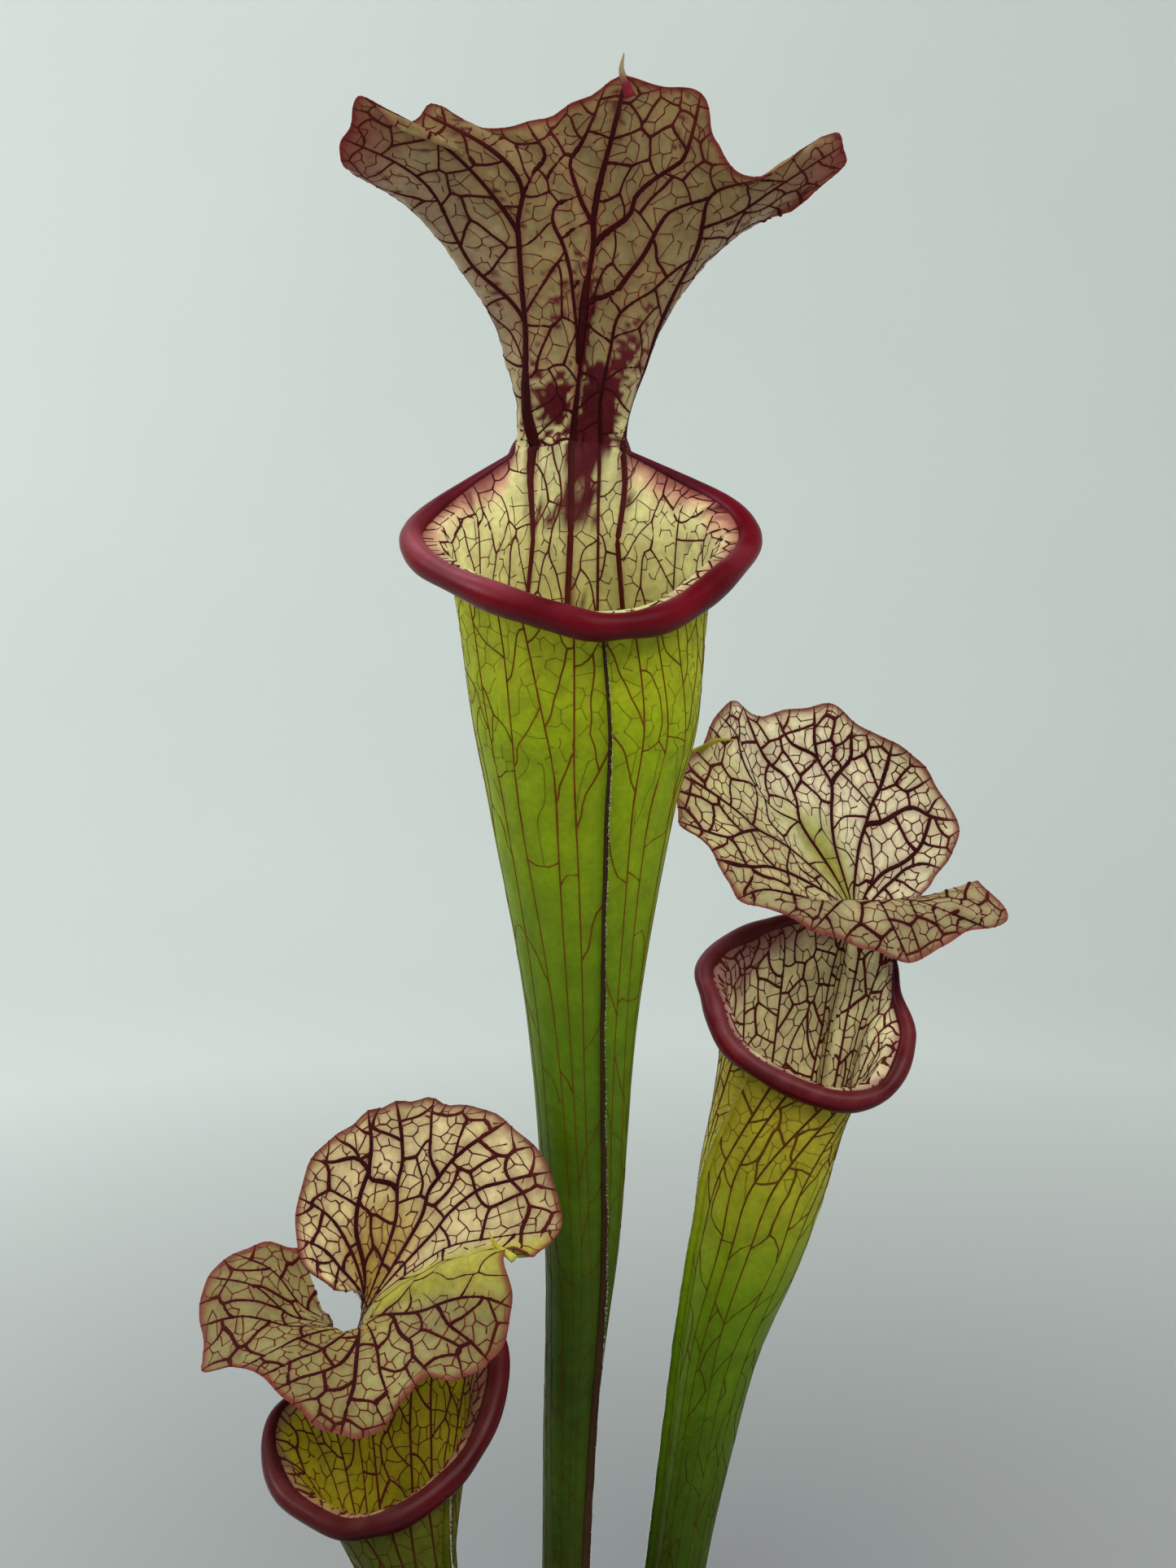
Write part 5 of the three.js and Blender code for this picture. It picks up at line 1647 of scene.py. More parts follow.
def hair_finish():
    """Hair: pale and silvery."""
    f = Finish("hair")
    return f.surface(f.mix(f.noise(500.0), (0.62, 0.60, 0.52), (0.88, 0.87, 0.82)), 0.35)


SKIN = skin_finish()
VEIN = vein_finish()
LIP = lip_finish()
HAIR = hair_finish()

# %% Colours that differ from leaf to leaf
def tall_stain(k, v):
    """Maroon stain over the tall column, densest right of the midvein."""
    right = 0.95 * smoothstep(k, 7.6, 8.8) * (1 - smoothstep(v, 1.1, 2.1))
    right = right * (1 - 0.45 * smoothstep(k, 11.5, 15.0))
    left = 0.85 * np.exp(-((k - 4.8) / 2.8) ** 2 - ((v - 1.05) / 0.62) ** 2)
    specks = 0.46 * (1 - smoothstep(v, 0.9, 2.3)) * smoothstep(k, 0.5, 2.5)
    middle = 0.75 * np.exp(-((k - 8.0) / 1.0) ** 2) * (1 - smoothstep(v, 1.9, 2.7))
    return np.maximum(np.maximum(right, left), np.maximum(middle, specks))


def tall_tube_stain(leaf, off, down):
    """The stain's end in the mouth: a band under the midvein and a fringe right of it."""
    middle, right = leaf["stain_angles"]
    wide = 2.5 + 2.4 * (1 - smoothstep(down, 0.0, 2.5))
    band = 0.85 * np.exp(-((off - middle) / wide) ** 2) * (1 - smoothstep(down, 2.6, 4.6))
    across = (off - middle) / (right - middle)
    between = smoothstep(across, -0.2, 0.15) * (1 - smoothstep(across + 0.6 * down, 1.2, 2.0))
    return np.maximum(band, 0.85 * between * (1 - smoothstep(down, 0.2, 2.4)))


def tall_tips(k, v):
    """Crimson tips of the tall hood's wings."""
    wings = np.maximum(1 - smoothstep(k, 2.0, 3.4), smoothstep(k, 13.4, 14.6))
    return 0.75 * smoothstep(v, 4.1, 5.0) * wings


def left_foot(k, v):
    """Brown-yellow foot of the left hood's far lobe."""
    across = smoothstep(k, 15.5, 18.0) * (1 - smoothstep(k, 21.0, 23.0))
    return 0.85 * across * (1 - smoothstep(v, 1.5, 2.5))


TALL.update({
    "grounds": [(0, TALL_WINGS), (3, TALL_HOOD), (13, TALL_HOOD), (16, TALL_WINGS)],
    "mouth_colour": MOUTH_CREAM, "mouth_rows": 2.4, "mouth_dark": (0.85, 0.6, 0.1),
    "marks": [(TIP_RED, tall_tips)], "stain": tall_stain, "tube_stain": tall_tube_stain,
    "halo": 0.68, "shade": 1.0, "neck_shade": 0.32, "dark_top": 0.2, "vein_low": VEIN_BROWN,
    "throat": THROAT_YELLOW, "throat_reach": (0.86, 1.02), "lip_inner": 0.0,
    "band_tone": (0.70, 0.26, 0.22), "band_red": 1.0,
    "band": [(40, 4.0), (90, 4.5), (135, 2.0), (180, 1.0), (225, 3.5), (270, 5.0), (320, 5.0)],
})
# The right hood's near lobes carry a darker copy of the far cream: painted shade.
RIGHT.update({
    "grounds": [(0, FAR_CREAM), (8, FAR_CREAM), (9.5, SHADED_NEAR_CREAM), (12, SHADED_NEAR_CREAM),
                (14, LOBE_OLIVE), (20, LOBE_OLIVE)],
    "mouth_colour": (1.0, 0.90, 0.52), "mouth_rows": 4.4, "mouth_dark": (0.45, 0.35, 0.0),
    "marks": [(CREASE_GREEN, right_crease)], "stain": None,
    "halo": 0.65, "shade": 1.0, "neck_shade": 0.0, "dark_top": 0.85, "vein_low": LOW_VEIN,
    "throat": (0.47, 0.34, 0.03), "throat_reach": (0.72, 0.95), "lip_inner": 0.2,
    "band_tone": (0.36, 0.15, 0.15), "band_red": 0.4,
    "band": [(50, 4.5), (90, 8.5), (120, 8.0), (145, 4.2), (180, 2.2), (240, 2.6), (320, 2.2)],
})
# The left leaf's shade of 0.22 is painted shade on its tube's outside and veins.
LEFT.update({
    "grounds": [(0, BASAL_OLIVE), (5, BASAL_OLIVE), (7, DRAPE_OLIVE), (14, DRAPE_OLIVE),
                (16.5, FAR_YELLOW), (24, FAR_YELLOW)],
    "mouth_colour": (0.52, 0.45, 0.008), "mouth_rows": 2.4, "mouth_dark": (0.85, 0.6, 0.1),
    "marks": [(FOOT_BROWN, left_foot), (RIDGE_YELLOW, left_ridge)], "stain": None,
    "halo": 0.65, "shade": 0.22, "neck_shade": 0.0, "dark_top": 0.85, "vein_low": LOW_VEIN,
    "throat": (0.62, 0.48, 0.05), "throat_reach": (0.8, 1.0), "lip_inner": 0.2,
    "band_tone": (0.36, 0.15, 0.12), "band_red": 0.35,
    "band": [(40, 2.8), (100, 3.6), (150, 3.4), (190, 6.0), (220, 8.0), (260, 6.5), (320, 3.5)],
})
for leaf in (TALL, RIGHT, LEFT):
    leaf["tube_top"] = leaf["tube"].points[:, -1, 2].mean() - SOIL_TOP
    leaf["stain_angles"] = [(rib_angle(leaf, k) + 180.0) % 360.0 - 180.0 for k in (8.0, 12.5)]
    build_skin(leaf)

# %% [markdown]
# ## Veins on the skin
#
# Now the lines of the net become solid strips. Their colour goes from near black on the
# hood to red brown on the tube, and the finest are the reddest.

# %% Vein strips
RELIEF = 0.15
EDGE_SPREAD = 1.35
EDGE_SINK = 0.08


class Strips:
    """Collects strips with a six-sided section that pokes through both faces."""

    def __init__(self):
        self.points = []
        self.faces = []
        self.paint = []
        self.count = 0

    def add(self, points, normals, half, wall, lift_out, lift_in, paint_out, paint_in):
        """Adds one strip along a row of points."""
        ways = unit(np.gradient(points, axis=0))
        side = unit(np.cross(normals, ways))
        edge, ridge = side * half[:, None] * EDGE_SPREAD, normals * (wall[:, None] - EDGE_SINK)
        ring = np.stack([points + edge + ridge,
                         points + normals * (wall + lift_out)[:, None],
                         points - edge + ridge,
                         points - edge - ridge,
                         points - normals * (wall + lift_in)[:, None],
                         points + edge - ridge], axis=1)
        rows = len(points)
        self.points.append(ring.reshape(-1, 3))
        colours = np.stack([paint_out] * 3 + [paint_in] * 3, axis=1)
        self.paint.append(colours.reshape(-1, 3))
        base = self.count
        for r in range(rows - 1):
            for s in range(6):
                a, b = base + r * 6 + s, base + r * 6 + (s + 1) % 6
                self.faces.append((a, b, b + 6, a + 6))
        self.faces.append(tuple(base + s for s in reversed(range(6))))
        self.faces.append(tuple(base + (rows - 1) * 6 + s for s in range(6)))
        self.count += rows * 6

    def piece(self, name):
        """All strips as one mesh."""
        return mesh_piece(name, np.concatenate(self.points), self.faces, np.concatenate(self.paint))


def stretch_ends(points, half, gap):
    """One more point past each end, so that joined strips close their corner.

    At the margin, where the gap to it is small, a strip ends short instead.
    """
    past = 0.7 * half[[0, -1]] * smoothstep(gap[[0, -1]], 0.2, 0.8) + 0.02
    first = points[0] - unit(points[1] - points[0]) * past[0]
    last = points[-1] + unit(points[-1] - points[-2]) * past[1]
    return np.concatenate([[first], points, [last]])


def vein_paint(leaf, part, order, places, outside):
    """Colour along a vein on one face."""
    last = leaf[part].vs[-1]
    t = places[:, 1] / last
    tint = (VEIN_MAROON, VEIN_DARK_RED, VEIN_RED)[order]
    colour = np.broadcast_to(np.array(tint), (len(places), 3))
    if part == "tube":
        up = smoothstep(t, 0.75, 0.98)
        low = leaf["vein_low"] if outside else VEIN_RED
        colour = blend(low, colour, up * (leaf["dark_top"] if outside else leaf["mouth_dark"][order]))
        if outside:
            ground = outside_paint(leaf, leaf[part].at(places))
            # Outside veins take the leaf's painted shade as well.
            colour = blend(colour * (0.4 + 0.6 * leaf["shade"]), ground * 0.6, (0.0, 0.1, 0.6)[order])
            colour = blend(colour, ground * 0.4, 0.6 * (1 - smoothstep(t, 0.45, 0.8)))
    else:
        colour = blend(colour, VEIN_RED, 0.6 * smoothstep(t, 0.8, 1.0))
    return colour


DEEP_ROWS = 2.3
DEEP_STEPS = (4, 2, 1)


def thinned(leaf, part, places, wide, order):
    """A line with fewer points low on the tube, where it runs nearly straight."""
    count = np.arange(len(places))
    keep = (count % DEEP_STEPS[order] == 0) | (count == len(places) - 1)
    if part == "tube":
        keep |= places[:, 1] > leaf["tube"].vs[-1] - DEEP_ROWS
        return places[keep], wide[keep]
    return places, wide


def build_veins(leaf):
    """All veins of a leaf as one piece."""
    strips = Strips()
    for part, places, wide, order in leaf["lines"]:
        places, wide = thinned(leaf, part, places, wide, order)
        sheet = leaf[part]
        points = sheet.at(places)
        if np.linalg.norm(points[-1] - points[0]) < 0.25:
            continue
        normals = unit(sheet.facing(places))
        wall = sheet.read(places[:, 0], places[:, 1], wall_grid(leaf, part))
        gap = np.full(len(points), 9.0)
        if part == "hood":
            margin = sheet.read(places[:, 0], np.full(len(places), sheet.vs[-1]), sheet.points)
            gap = np.linalg.norm(points - margin, axis=1)
        half = wide / 2 * (0.35 + 0.65 * smoothstep(gap, 0.0, 2.6))
        points = stretch_ends(points, half, gap)
        normals, wall, half, spots = [np.concatenate([a[:1], a, a[-1:]])
                                      for a in (normals, wall, half, places)]
        half[[0, -1]] *= 0.45
        lift = RELIEF * np.minimum(0.4 + half, 1.0)
        strips.add(points, normals, half, wall, lift, lift,
                   vein_paint(leaf, part, order, spots, True),
                   vein_paint(leaf, part, order, spots, False))
    dress(strips.piece(leaf["name"] + "_veins"), VEIN)


for leaf in (TALL, RIGHT, LEFT):
    build_veins(leaf)

# %% [markdown]
# ## The rolled lip
#
# The edge of the mouth rolls outward into a hard smooth bead. It is swept along the
# lip's line with a rounded section that hangs out a little, swells in front and thins
# toward the column, where it goes on as the dark furred edges of the column.

# %% Sweep a round section along a line
def sweep(points, normals, wide, deep, sides):
    """Points and faces of a closed tube along a line; normals steer its section."""
    ways = unit(np.gradient(points, axis=0))
    side = unit(np.cross(normals, ways))
    up = np.cross(ways, side)
    turn = np.linspace(0, 2 * math.pi, sides, endpoint=False)
    rings = (points[:, None] + side[:, None] * (np.cos(turn)[None, :, None] * wide[:, None, None])
             + up[:, None] * (np.sin(turn)[None, :, None] * deep[:, None, None]))
    rows = len(points)
    flat = np.concatenate([rings.reshape(-1, 3), points[:1], points[-1:]])
    faces = []
    for r in range(rows - 1):
        for s in range(sides):
            n = (s + 1) % sides
            faces.append((r * sides + s, r * sides + n, (r + 1) * sides + n, (r + 1) * sides + s))
    hub, end = rows * sides, rows * sides + 1
    for s in range(sides):
        n = (s + 1) % sides
        faces.append((hub, n, s))
        faces.append((end, (rows - 1) * sides + s, (rows - 1) * sides + n))
    return flat, faces


LIP_STEP = 2.0
LIP_SIDES = 20
EDGE_REACH = 1.7
EDGE_RADIUS = 0.62
LEFT_CORNER = 205.0


def lip_line(leaf):
    """Line of the lip with the column's edges at both ends, its directions and radius."""
    tube, hood = leaf["tube"], leaf["hood"]
    start, end = leaf["column"]
    degrees = np.arange(start + 1, end, LIP_STEP)
    top = tube.vs[-1]
    ring = np.stack([degrees, np.full(len(degrees), top)], axis=1)
    near = np.minimum(degrees - start, end - degrees)
    radius = EDGE_RADIUS + (leaf["bead"] - EDGE_RADIUS) * smoothstep(near, 0, 62) ** 0.8
    wave = 1 + 0.07 * np.sin(np.radians(degrees) * 5 + 1) + 0.05 * np.sin(np.radians(degrees) * 11)
    v = np.arange(0.06, EDGE_REACH, 0.06)
    thin = EDGE_RADIUS - 0.34 * v / EDGE_REACH
    left, right = [np.stack([np.full(len(v), edge), v], axis=1) for edge in (hood.us[0], hood.us[-1])]
    points = np.concatenate([hood.at(left)[::-1], tube.at(ring), hood.at(right)])
    normals = unit(np.concatenate([hood.facing(left)[::-1], tube.facing(ring), hood.facing(right)]))
    radius = np.concatenate([thin[::-1], radius * wave, thin])
    front = np.concatenate([np.zeros(len(v)), smoothstep(near, 0, 50), np.zeros(len(v))])
    return points, normals, radius, front


def build_lip(leaf):
    """Rolled lip of one mouth, with painted shade underneath and a painted sheen on top."""
    points, normals, radius, front = lip_line(leaf)
    hang = normals * (0.25 * front * radius)[:, None]
    flat, faces = sweep(points + hang, normals, radius * 0.92, radius * 1.04, LIP_SIDES)
    share = np.concatenate([np.repeat(front, LIP_SIDES), front[:1], front[-1:]])
    patches = 0.5 + 0.5 * ripple(flat, 14.0, leaf["seed"] + 9)
    offset = unit(flat[:-2] - np.repeat(points + hang, LIP_SIDES, axis=0))
    upward = np.append(offset[:, 2], [0, 0])
    inward = np.append(-(offset * np.repeat(normals, LIP_SIDES, axis=0)).sum(axis=1), [0, 0])
    middle = leaf["tube"].points[:, -1].mean(axis=0)
    angles = np.degrees(np.arctan2(flat[:, 1] - middle[1], flat[:, 0] - middle[0]))
    from_left = np.abs((angles - LEFT_CORNER + 180.0) % 360.0 - 180.0)
    # Strength of the painted sheen: most near the left corner, with scattered patches.
    sheen = leaf["sheen"] * (1 - smoothstep(from_left, 15.0, 60.0))
    sheen = sheen + 0.2 * smoothstep(ripple(flat, 9.0, leaf["seed"] + 13), 0.2, 1.0)
    mottles = 0.7 + 0.3 * ripple(flat, 3.2, leaf["seed"] + 14)
    paint = blend(LIP_CRIMSON, LIP_DARK_AND_SHADE, patches * 0.5)
    # Painted shade: the underside of the lip darkened.
    paint = blend(paint, LIP_DARK_AND_SHADE, 0.85 * smoothstep(-upward, -0.1, 0.8))
    inside = leaf["lip_inner"] * mottles * smoothstep(inward, 0.5, 1.0)
    paint = blend(paint, leaf["band_tone"], inside * share)
    # Painted sheen: the upper side of the lip lightened.
    paint = blend(paint, PAINTED_LIP_SHEEN, sheen * smoothstep(upward, 0.1, 0.95))
    paint = blend(paint, EDGE_PURPLE, 1 - share) * leaf["lip_tone"]
    dress(mesh_piece(leaf["name"] + "_lip", flat, faces, paint), LIP)


# Each lip's painted sheen strength and overall tone.
for leaf, sheen, tone in ((TALL, 0.65, 1.05), (RIGHT, 0.5, 0.8), (LEFT, 0.15, 0.6)):
    leaf["sheen"] = sheen
    leaf["lip_tone"] = tone
    build_lip(leaf)

# %% [markdown]
# ## Front wing, horns and hairs
#
# Down the front of each tube runs a narrow wing with a brown seam and a row of tiny pale
# hairs. The midrib of the hood ends in a small soft horn, and the column's edges and the
# keel of the low tubes carry fine silvery hairs.

# %% Front wings
WING_HALF = 0.24
WING_SEAM = (0.045, 0.022, 0.010)


def build_wing(leaf):
    """Thin raised blade along the front of the tube; gives its ridge for the hairs."""
    tube = leaf["tube"]
    top = tube.vs[-1]
    v = np.linspace(0.5, top - 0.32, 150)
    seam = np.stack([np.full(len(v), FRONT), v], axis=1)
    points = tube.at(seam)
    normals = unit(tube.facing(seam))
    rise = leaf["wing"] * smoothstep(v, 0.5, 1.6) * (1 - 0.75 * smoothstep(v, top - 2.2, top - 0.3))
    strips = Strips()
    sunk = np.full(len(v), -0.3)
    low = outside_paint(leaf, points)
    strips.add(points, normals, np.full(len(v), WING_HALF), np.full(len(v), TUBE_HALF_WALL),
               rise, sunk, blend(low, WING_SEAM, leaf["seam_dark"]), low)
    dress(strips.piece(leaf["name"] + "_wing"), VEIN)
    return points + normals * (rise + TUBE_HALF_WALL)[:, None], normals


# %% Hairs
def hair_mesh(roots, ways, lengths, radius):
    """Three-sided cones as one mesh."""
    ways = unit(ways)
    helper = np.where(np.abs(ways[:, 2:3]) > 0.8, [[1.0, 0, 0]], [[0, 0, 1.0]])
    side = unit(np.cross(helper, ways))
    up = np.cross(ways, side)
    points, faces = [], []
    for s in range(3):
        turn = 2 * math.pi * s / 3
        points.append(roots + (side * math.cos(turn) + up * math.sin(turn)) * radius)
    tips = roots + ways * lengths[:, None]
    count = len(roots)
    flat = np.concatenate([*points, tips])
    for i in range(count):
        a, b, c, tip = i, i + count, i + 2 * count, i + 3 * count
        faces += [(a, b, tip), (b, c, tip), (c, a, tip), (c, b, a)]
    return flat, faces


SEAM_HAIRS = 900
EDGE_HAIRS = 260
KEEL_HAIRS = 260
HAIR_RADIUS = 0.045


def edge_roots(leaf, rng):
    """Roots and directions of hairs on both edges of the column."""
    hood = leaf["hood"]
    roots, ways = [], []
    for edge, side in ((hood.us[0], -1), (hood.us[-1], 1)):
        v = rng.uniform(0.0, EDGE_REACH * 0.95, EDGE_HAIRS // 2)
        inset = rng.uniform(0.0, 0.9, len(v))
        u = np.full(len(v), edge) - side * inset
        points = hood.read(u, v, hood.points)
        normals = hood.read(u, v, hood.normals)
        across = unit(np.gradient(hood.points, hood.us, axis=0))
        out = hood.read(u, v, across) * side
        lean = rng.normal(0, 0.35, (len(v), 3)) + [0, 0, -0.25]
        face = np.where(rng.uniform(size=(len(v), 1)) < 0.5, 1.0, -1.0)
        roots.append(points + normals * face * 0.2)
        ways.append(out * (1 - inset[:, None]) + normals * face * inset[:, None] + lean)
    return np.concatenate(roots), np.concatenate(ways)


def keel_roots(leaf, rng, angle, low, high):
    """Roots and directions of hairs down one side of a tube."""
    tube = leaf["tube"]
    v = rng.uniform(low, high, KEEL_HAIRS)
    u = angle + rng.normal(0, 5.0, len(v))
    normals = tube.read(u, v, tube.normals)
    points = tube.read(u, v, tube.points) + normals * TUBE_HALF_WALL * 0.8
    return points, normals + rng.normal(0, 0.3, (len(v), 3)) + [0, 0, -0.2]


def build_hairs(leaf, wing_points, wing_normals):
    """Seam hairs, column hairs and keel hairs of one leaf."""
    rng = np.random.default_rng(leaf["seed"] + 10)
    place = rng.uniform(0, len(wing_points) - 1.001, SEAM_HAIRS)
    i = place.astype(int)
    share = (place - i)[:, None]
    seam = wing_points[i] * (1 - share) + wing_points[i + 1] * share
    seam_ways = wing_normals[i] + rng.normal(0, 0.55, (SEAM_HAIRS, 3))
    edge, edge_ways = edge_roots(leaf, rng)
    groups = [(seam, seam_ways, rng.uniform(0.25, 0.6, SEAM_HAIRS)),
              (edge, edge_ways, rng.uniform(0.6, 1.3, len(edge)))]
    for angle, low, high in leaf["keels"]:
        keel, keel_ways = keel_roots(leaf, rng, angle, low, high)
        groups.append((keel, keel_ways, rng.uniform(0.5, 1.1, len(keel))))
    roots = np.concatenate([g[0] for g in groups])
    ways = np.concatenate([g[1] for g in groups])
    lengths = np.concatenate([g[2] for g in groups])
    flat, faces = hair_mesh(roots, ways, lengths, HAIR_RADIUS)
    dress(mesh_piece(leaf["name"] + "_hairs", flat, faces), HAIR)


# %% Horns
HORN_RINGS = 16
HORN_SIDES = 10


def build_horn(leaf):
    """Soft curved horn at the end of the midrib."""
    base, tip = np.array([leaf["horn"]["base"], leaf["horn"]["tip"]], float)
    middle = (base + tip) / 2 + np.cross(tip - base, [0.0, 1.0, 0.0]) * 0.12
    under = base + (base - middle) * 0.7
    ring = np.arange(HORN_RINGS)
    line = hermite(np.arange(4), np.array([under, base, middle, tip]), np.linspace(0, 3, HORN_RINGS))
    radius = leaf["horn"]["radius"] * (1.0 - 0.9 * (ring / (HORN_RINGS - 1)) ** 1.3)
    steer = np.broadcast_to(np.array([0.0, 1.0, 0.0]), line.shape)
    flat, faces = sweep(line, steer, radius, radius, HORN_SIDES)
    paint = blend(leaf["horn_foot"], leaf["horn_tip"], smoothstep(ring, 5, 11).repeat(HORN_SIDES))
    paint = np.concatenate([paint, paint[:1], paint[-1:]])
    dress(mesh_piece(leaf["name"] + "_horn", flat, faces, paint), VEIN)


TALL.update({"keels": [], "seam_dark": 1.0, "horn_foot": EDGE_RED, "horn_tip": (0.36, 0.27, 0.15)})
RIGHT.update({"keels": [(92.0, 4.0, 7.6)], "seam_dark": 0.1, "horn_foot": HORN_YELLOW,
              "horn_tip": (0.50, 0.40, 0.05)})
LEFT.update({"keels": [(268.0, 2.6, 5.2)], "seam_dark": 0.1, "horn_foot": RIDGE_YELLOW,
             "horn_tip": HORN_YELLOW})
for leaf in (TALL, RIGHT, LEFT):
    build_hairs(leaf, *build_wing(leaf))
    build_horn(leaf)

# %% [markdown]
# ## Pot
#
# The pot is a plain round nursery pot of dark plastic. A moulded pot has rounded rims,
# a step under its band, two shallow rings and a foot with water holes. Its outline is
# spun about the axis, and the holes are cut with round pegs.

# %% Pot
POT_OUTLINE = [
    (0.0, 2.0), (47.5, 2.0), (49.0, 1.6), (50.0, 0.2), (50.6, 0.0), (56.6, 0.0), (57.6, 0.5),
    (58.1, 1.6), (59.6, 14.0), (59.9, 14.6), (59.9, 16.0), (60.0, 16.6), (71.9, 101.0),
    (72.4, 101.6), (72.5, 103.0), (72.2, 103.6), (74.9, 121.0), (75.6, 121.8), (78.6, 122.1),
    (79.3, 122.9), (80.0, 133.4), (79.7, 134.5), (78.8, 135.0), (76.6, 135.0), (75.6, 134.6),
    (75.0, 133.6), (73.6, 124.0), (57.2, 7.0), (56.2, 5.0), (54.5, 4.5), (0.0, 4.5),
]
POT_STEPS = 128
POT_WELD = 0.00002
DRAINS = 6
DRAIN_RING = 36.0
DRAIN_RADIUS = 5.0


def cut_drains(pot):
    """Water holes through the pot's floor."""
    for k in range(DRAINS):
        turn = 2 * math.pi * k / DRAINS
        bpy.ops.mesh.primitive_cylinder_add(
            vertices=32, radius=DRAIN_RADIUS * MM, depth=0.012,
            location=(DRAIN_RING * MM * math.cos(turn), DRAIN_RING * MM * math.sin(turn), 0.003))
        peg = bpy.context.active_object
        cut = pot.modifiers.new("drain", "BOOLEAN")
        cut.operation = "DIFFERENCE"
        cut.object = peg
        bpy.context.view_layer.objects.active = pot
        bpy.ops.object.modifier_apply(modifier=cut.name)
        bpy.data.objects.remove(peg)


def pot_finish():
    """Dark moulded plastic: fine grain, dull wear, dried splashes of peat water."""
    f = Finish("pot_plastic")
    height = f.node("SeparateXYZ", {"Vector": f.place}).outputs["Z"]
    splash = f.ramp(f.noise(38.0, 6.0, 0.65), 0.52, 0.72)
    near_rim = f.ramp(height, 0.06, 0.13, 0.15, 0.75)
    streak = f.ramp(f.noise(130.0, 4.0, place=f.drawn(1.0, 1.0, 0.12)), 0.55, 0.75, 0.0, 0.5)
    tone = f.mix(f.noise(14.0), (0.020, 0.023, 0.021), (0.034, 0.037, 0.035))
    tone = f.mix(f.times(splash, near_rim), tone, (0.12, 0.10, 0.075))
    tone = f.mix(streak, tone, (0.075, 0.072, 0.062))
    grain = f.bump(f.noise(2200.0, 2.0), 0.00006, 0.6)
    return f.surface(tone, f.uneven(60.0, 0.38, 0.62, 5.0), f.bump(f.noise(60.0), 0.0004, 0.25, grain))


pot = spin_outline("nursery_pot", [(r * MM, z * MM) for r, z in POT_OUTLINE], POT_STEPS, POT_WELD)
cut_drains(pot)
bpy.ops.object.select_all(action="DESELECT")
pot.select_set(True)
bpy.context.view_layer.objects.active = pot
bpy.ops.object.shade_smooth_by_angle(angle=math.radians(32))
dress(pot, pot_finish(), ("pot",))

# %% [markdown]
# ## Peat, grit and moss
#
# The plant stands in wet peat with white perlite grit and tufts of living moss. The peat
# is spun like the pot, then its top is roughened in code. Crumbs, grit and moss sprigs
# are each modelled once and copied over the top, turned and sized at random from a
# fixed seed.

# %% Peat body
PEAT_STEPS = 180
PEAT_RINGS = 70
SOIL_RELIEF = 1.6


def peat_height(x, y):
    """Height of the peat's top over its mean."""
    waves = np.sin(x * 0.13 + 1) * np.cos(y * 0.16) + 0.6 * np.sin(x * 0.31 - y * 0.27)
    return SOIL_RELIEF * waves


def build_peat():
    """Peat with an uneven crumbly top."""
    outline = [(0.0, 4.9), (55.6, 4.9), (POT_RADIUS_AT_SOIL, SOIL_TOP - 1.5)]
    for i in range(PEAT_RINGS, 0, -1):
        outline.append((POT_RADIUS_AT_SOIL * i / PEAT_RINGS, SOIL_TOP))
    outline.append((0.0, SOIL_TOP))
    piece = spin_outline("peat", [(r * MM, z * MM) for r, z in outline], PEAT_STEPS, POT_WELD)
    count = len(piece.data.vertices)
    flat = np.empty(count * 3)
    piece.data.vertices.foreach_get("co", flat)
    points = flat.reshape(-1, 3) / MM
    top = points[:, 2] > SOIL_TOP - 0.5
    ground = np.stack([points[:, 0], points[:, 1], np.zeros(count)], axis=1)
    crumbs = 0.55 * ripple(ground, 4.0, 71) + 0.3 * ripple(ground, 1.9, 72)
    points[:, 2] += np.where(top, peat_height(points[:, 0], points[:, 1]) + crumbs, 0.0)
    piece.data.vertices.foreach_set("co", (points * MM).ravel())
    piece.data.update()
    bpy.ops.object.shade_smooth()
    return piece


def peat_finish():
    """Damp dark peat: brown fibres, wet glints, crumbly relief."""
    f = Finish("damp_peat")
    clump = f.noise(260.0, 6.0, 0.7)
    tone = f.mix(f.ramp(clump, 0.3, 0.7), (0.014, 0.008, 0.005), (0.085, 0.048, 0.026))
    fibre = f.ramp(f.noise(900.0, 2.0, place=f.drawn(1.0, 0.18, 1.0)), 0.6, 0.7)
    tone = f.mix(f.times(fibre, 0.5), tone, (0.16, 0.10, 0.05))
    relief = f.bump(f.noise(1500.0, 3.0), 0.0003, 0.7, f.bump(clump, 0.0012, 0.9))
    return f.surface(tone, f.ramp(f.noise(45.0), 0.4, 0.6, 0.55, 0.92), relief)


peat = build_peat()
PEAT = peat_finish()
dress(peat, PEAT, ("growing_medium",))

# %% Crumbs, grit and moss
CRUMBS = 620
CRUMB_REACH = 71.0
GRIT = 90
GRIT_REACH = 69.5
MOSS_TUFTS = 26
MOSS_REACH = 66.0
SPRIGS_PER_TUFT = 46
SPRIG_RADIUS = 0.16
STEM_CLEAR = 5.5


def ico_start(name, seed, rough):
    """Small lump made from an icosphere with its points pushed about."""
    bpy.ops.mesh.primitive_ico_sphere_add(subdivisions=2, radius=1.0)
    lump = bpy.context.active_object
    lump.name = name
    flat = np.empty(len(lump.data.vertices) * 3)
    lump.data.vertices.foreach_get("co", flat)
    points = flat.reshape(-1, 3)
    points *= (1 + rough * ripple(points, 1.6, seed))[:, None]
    faces = [tuple(p.vertices) for p in lump.data.polygons]
    bpy.data.objects.remove(lump)
    return points, faces


def random_turns(rng, count):
    """Random rotations as matrices."""
    return [np.array(Quaternion(q).to_matrix()) for q in unit(rng.normal(size=(count, 4)))]


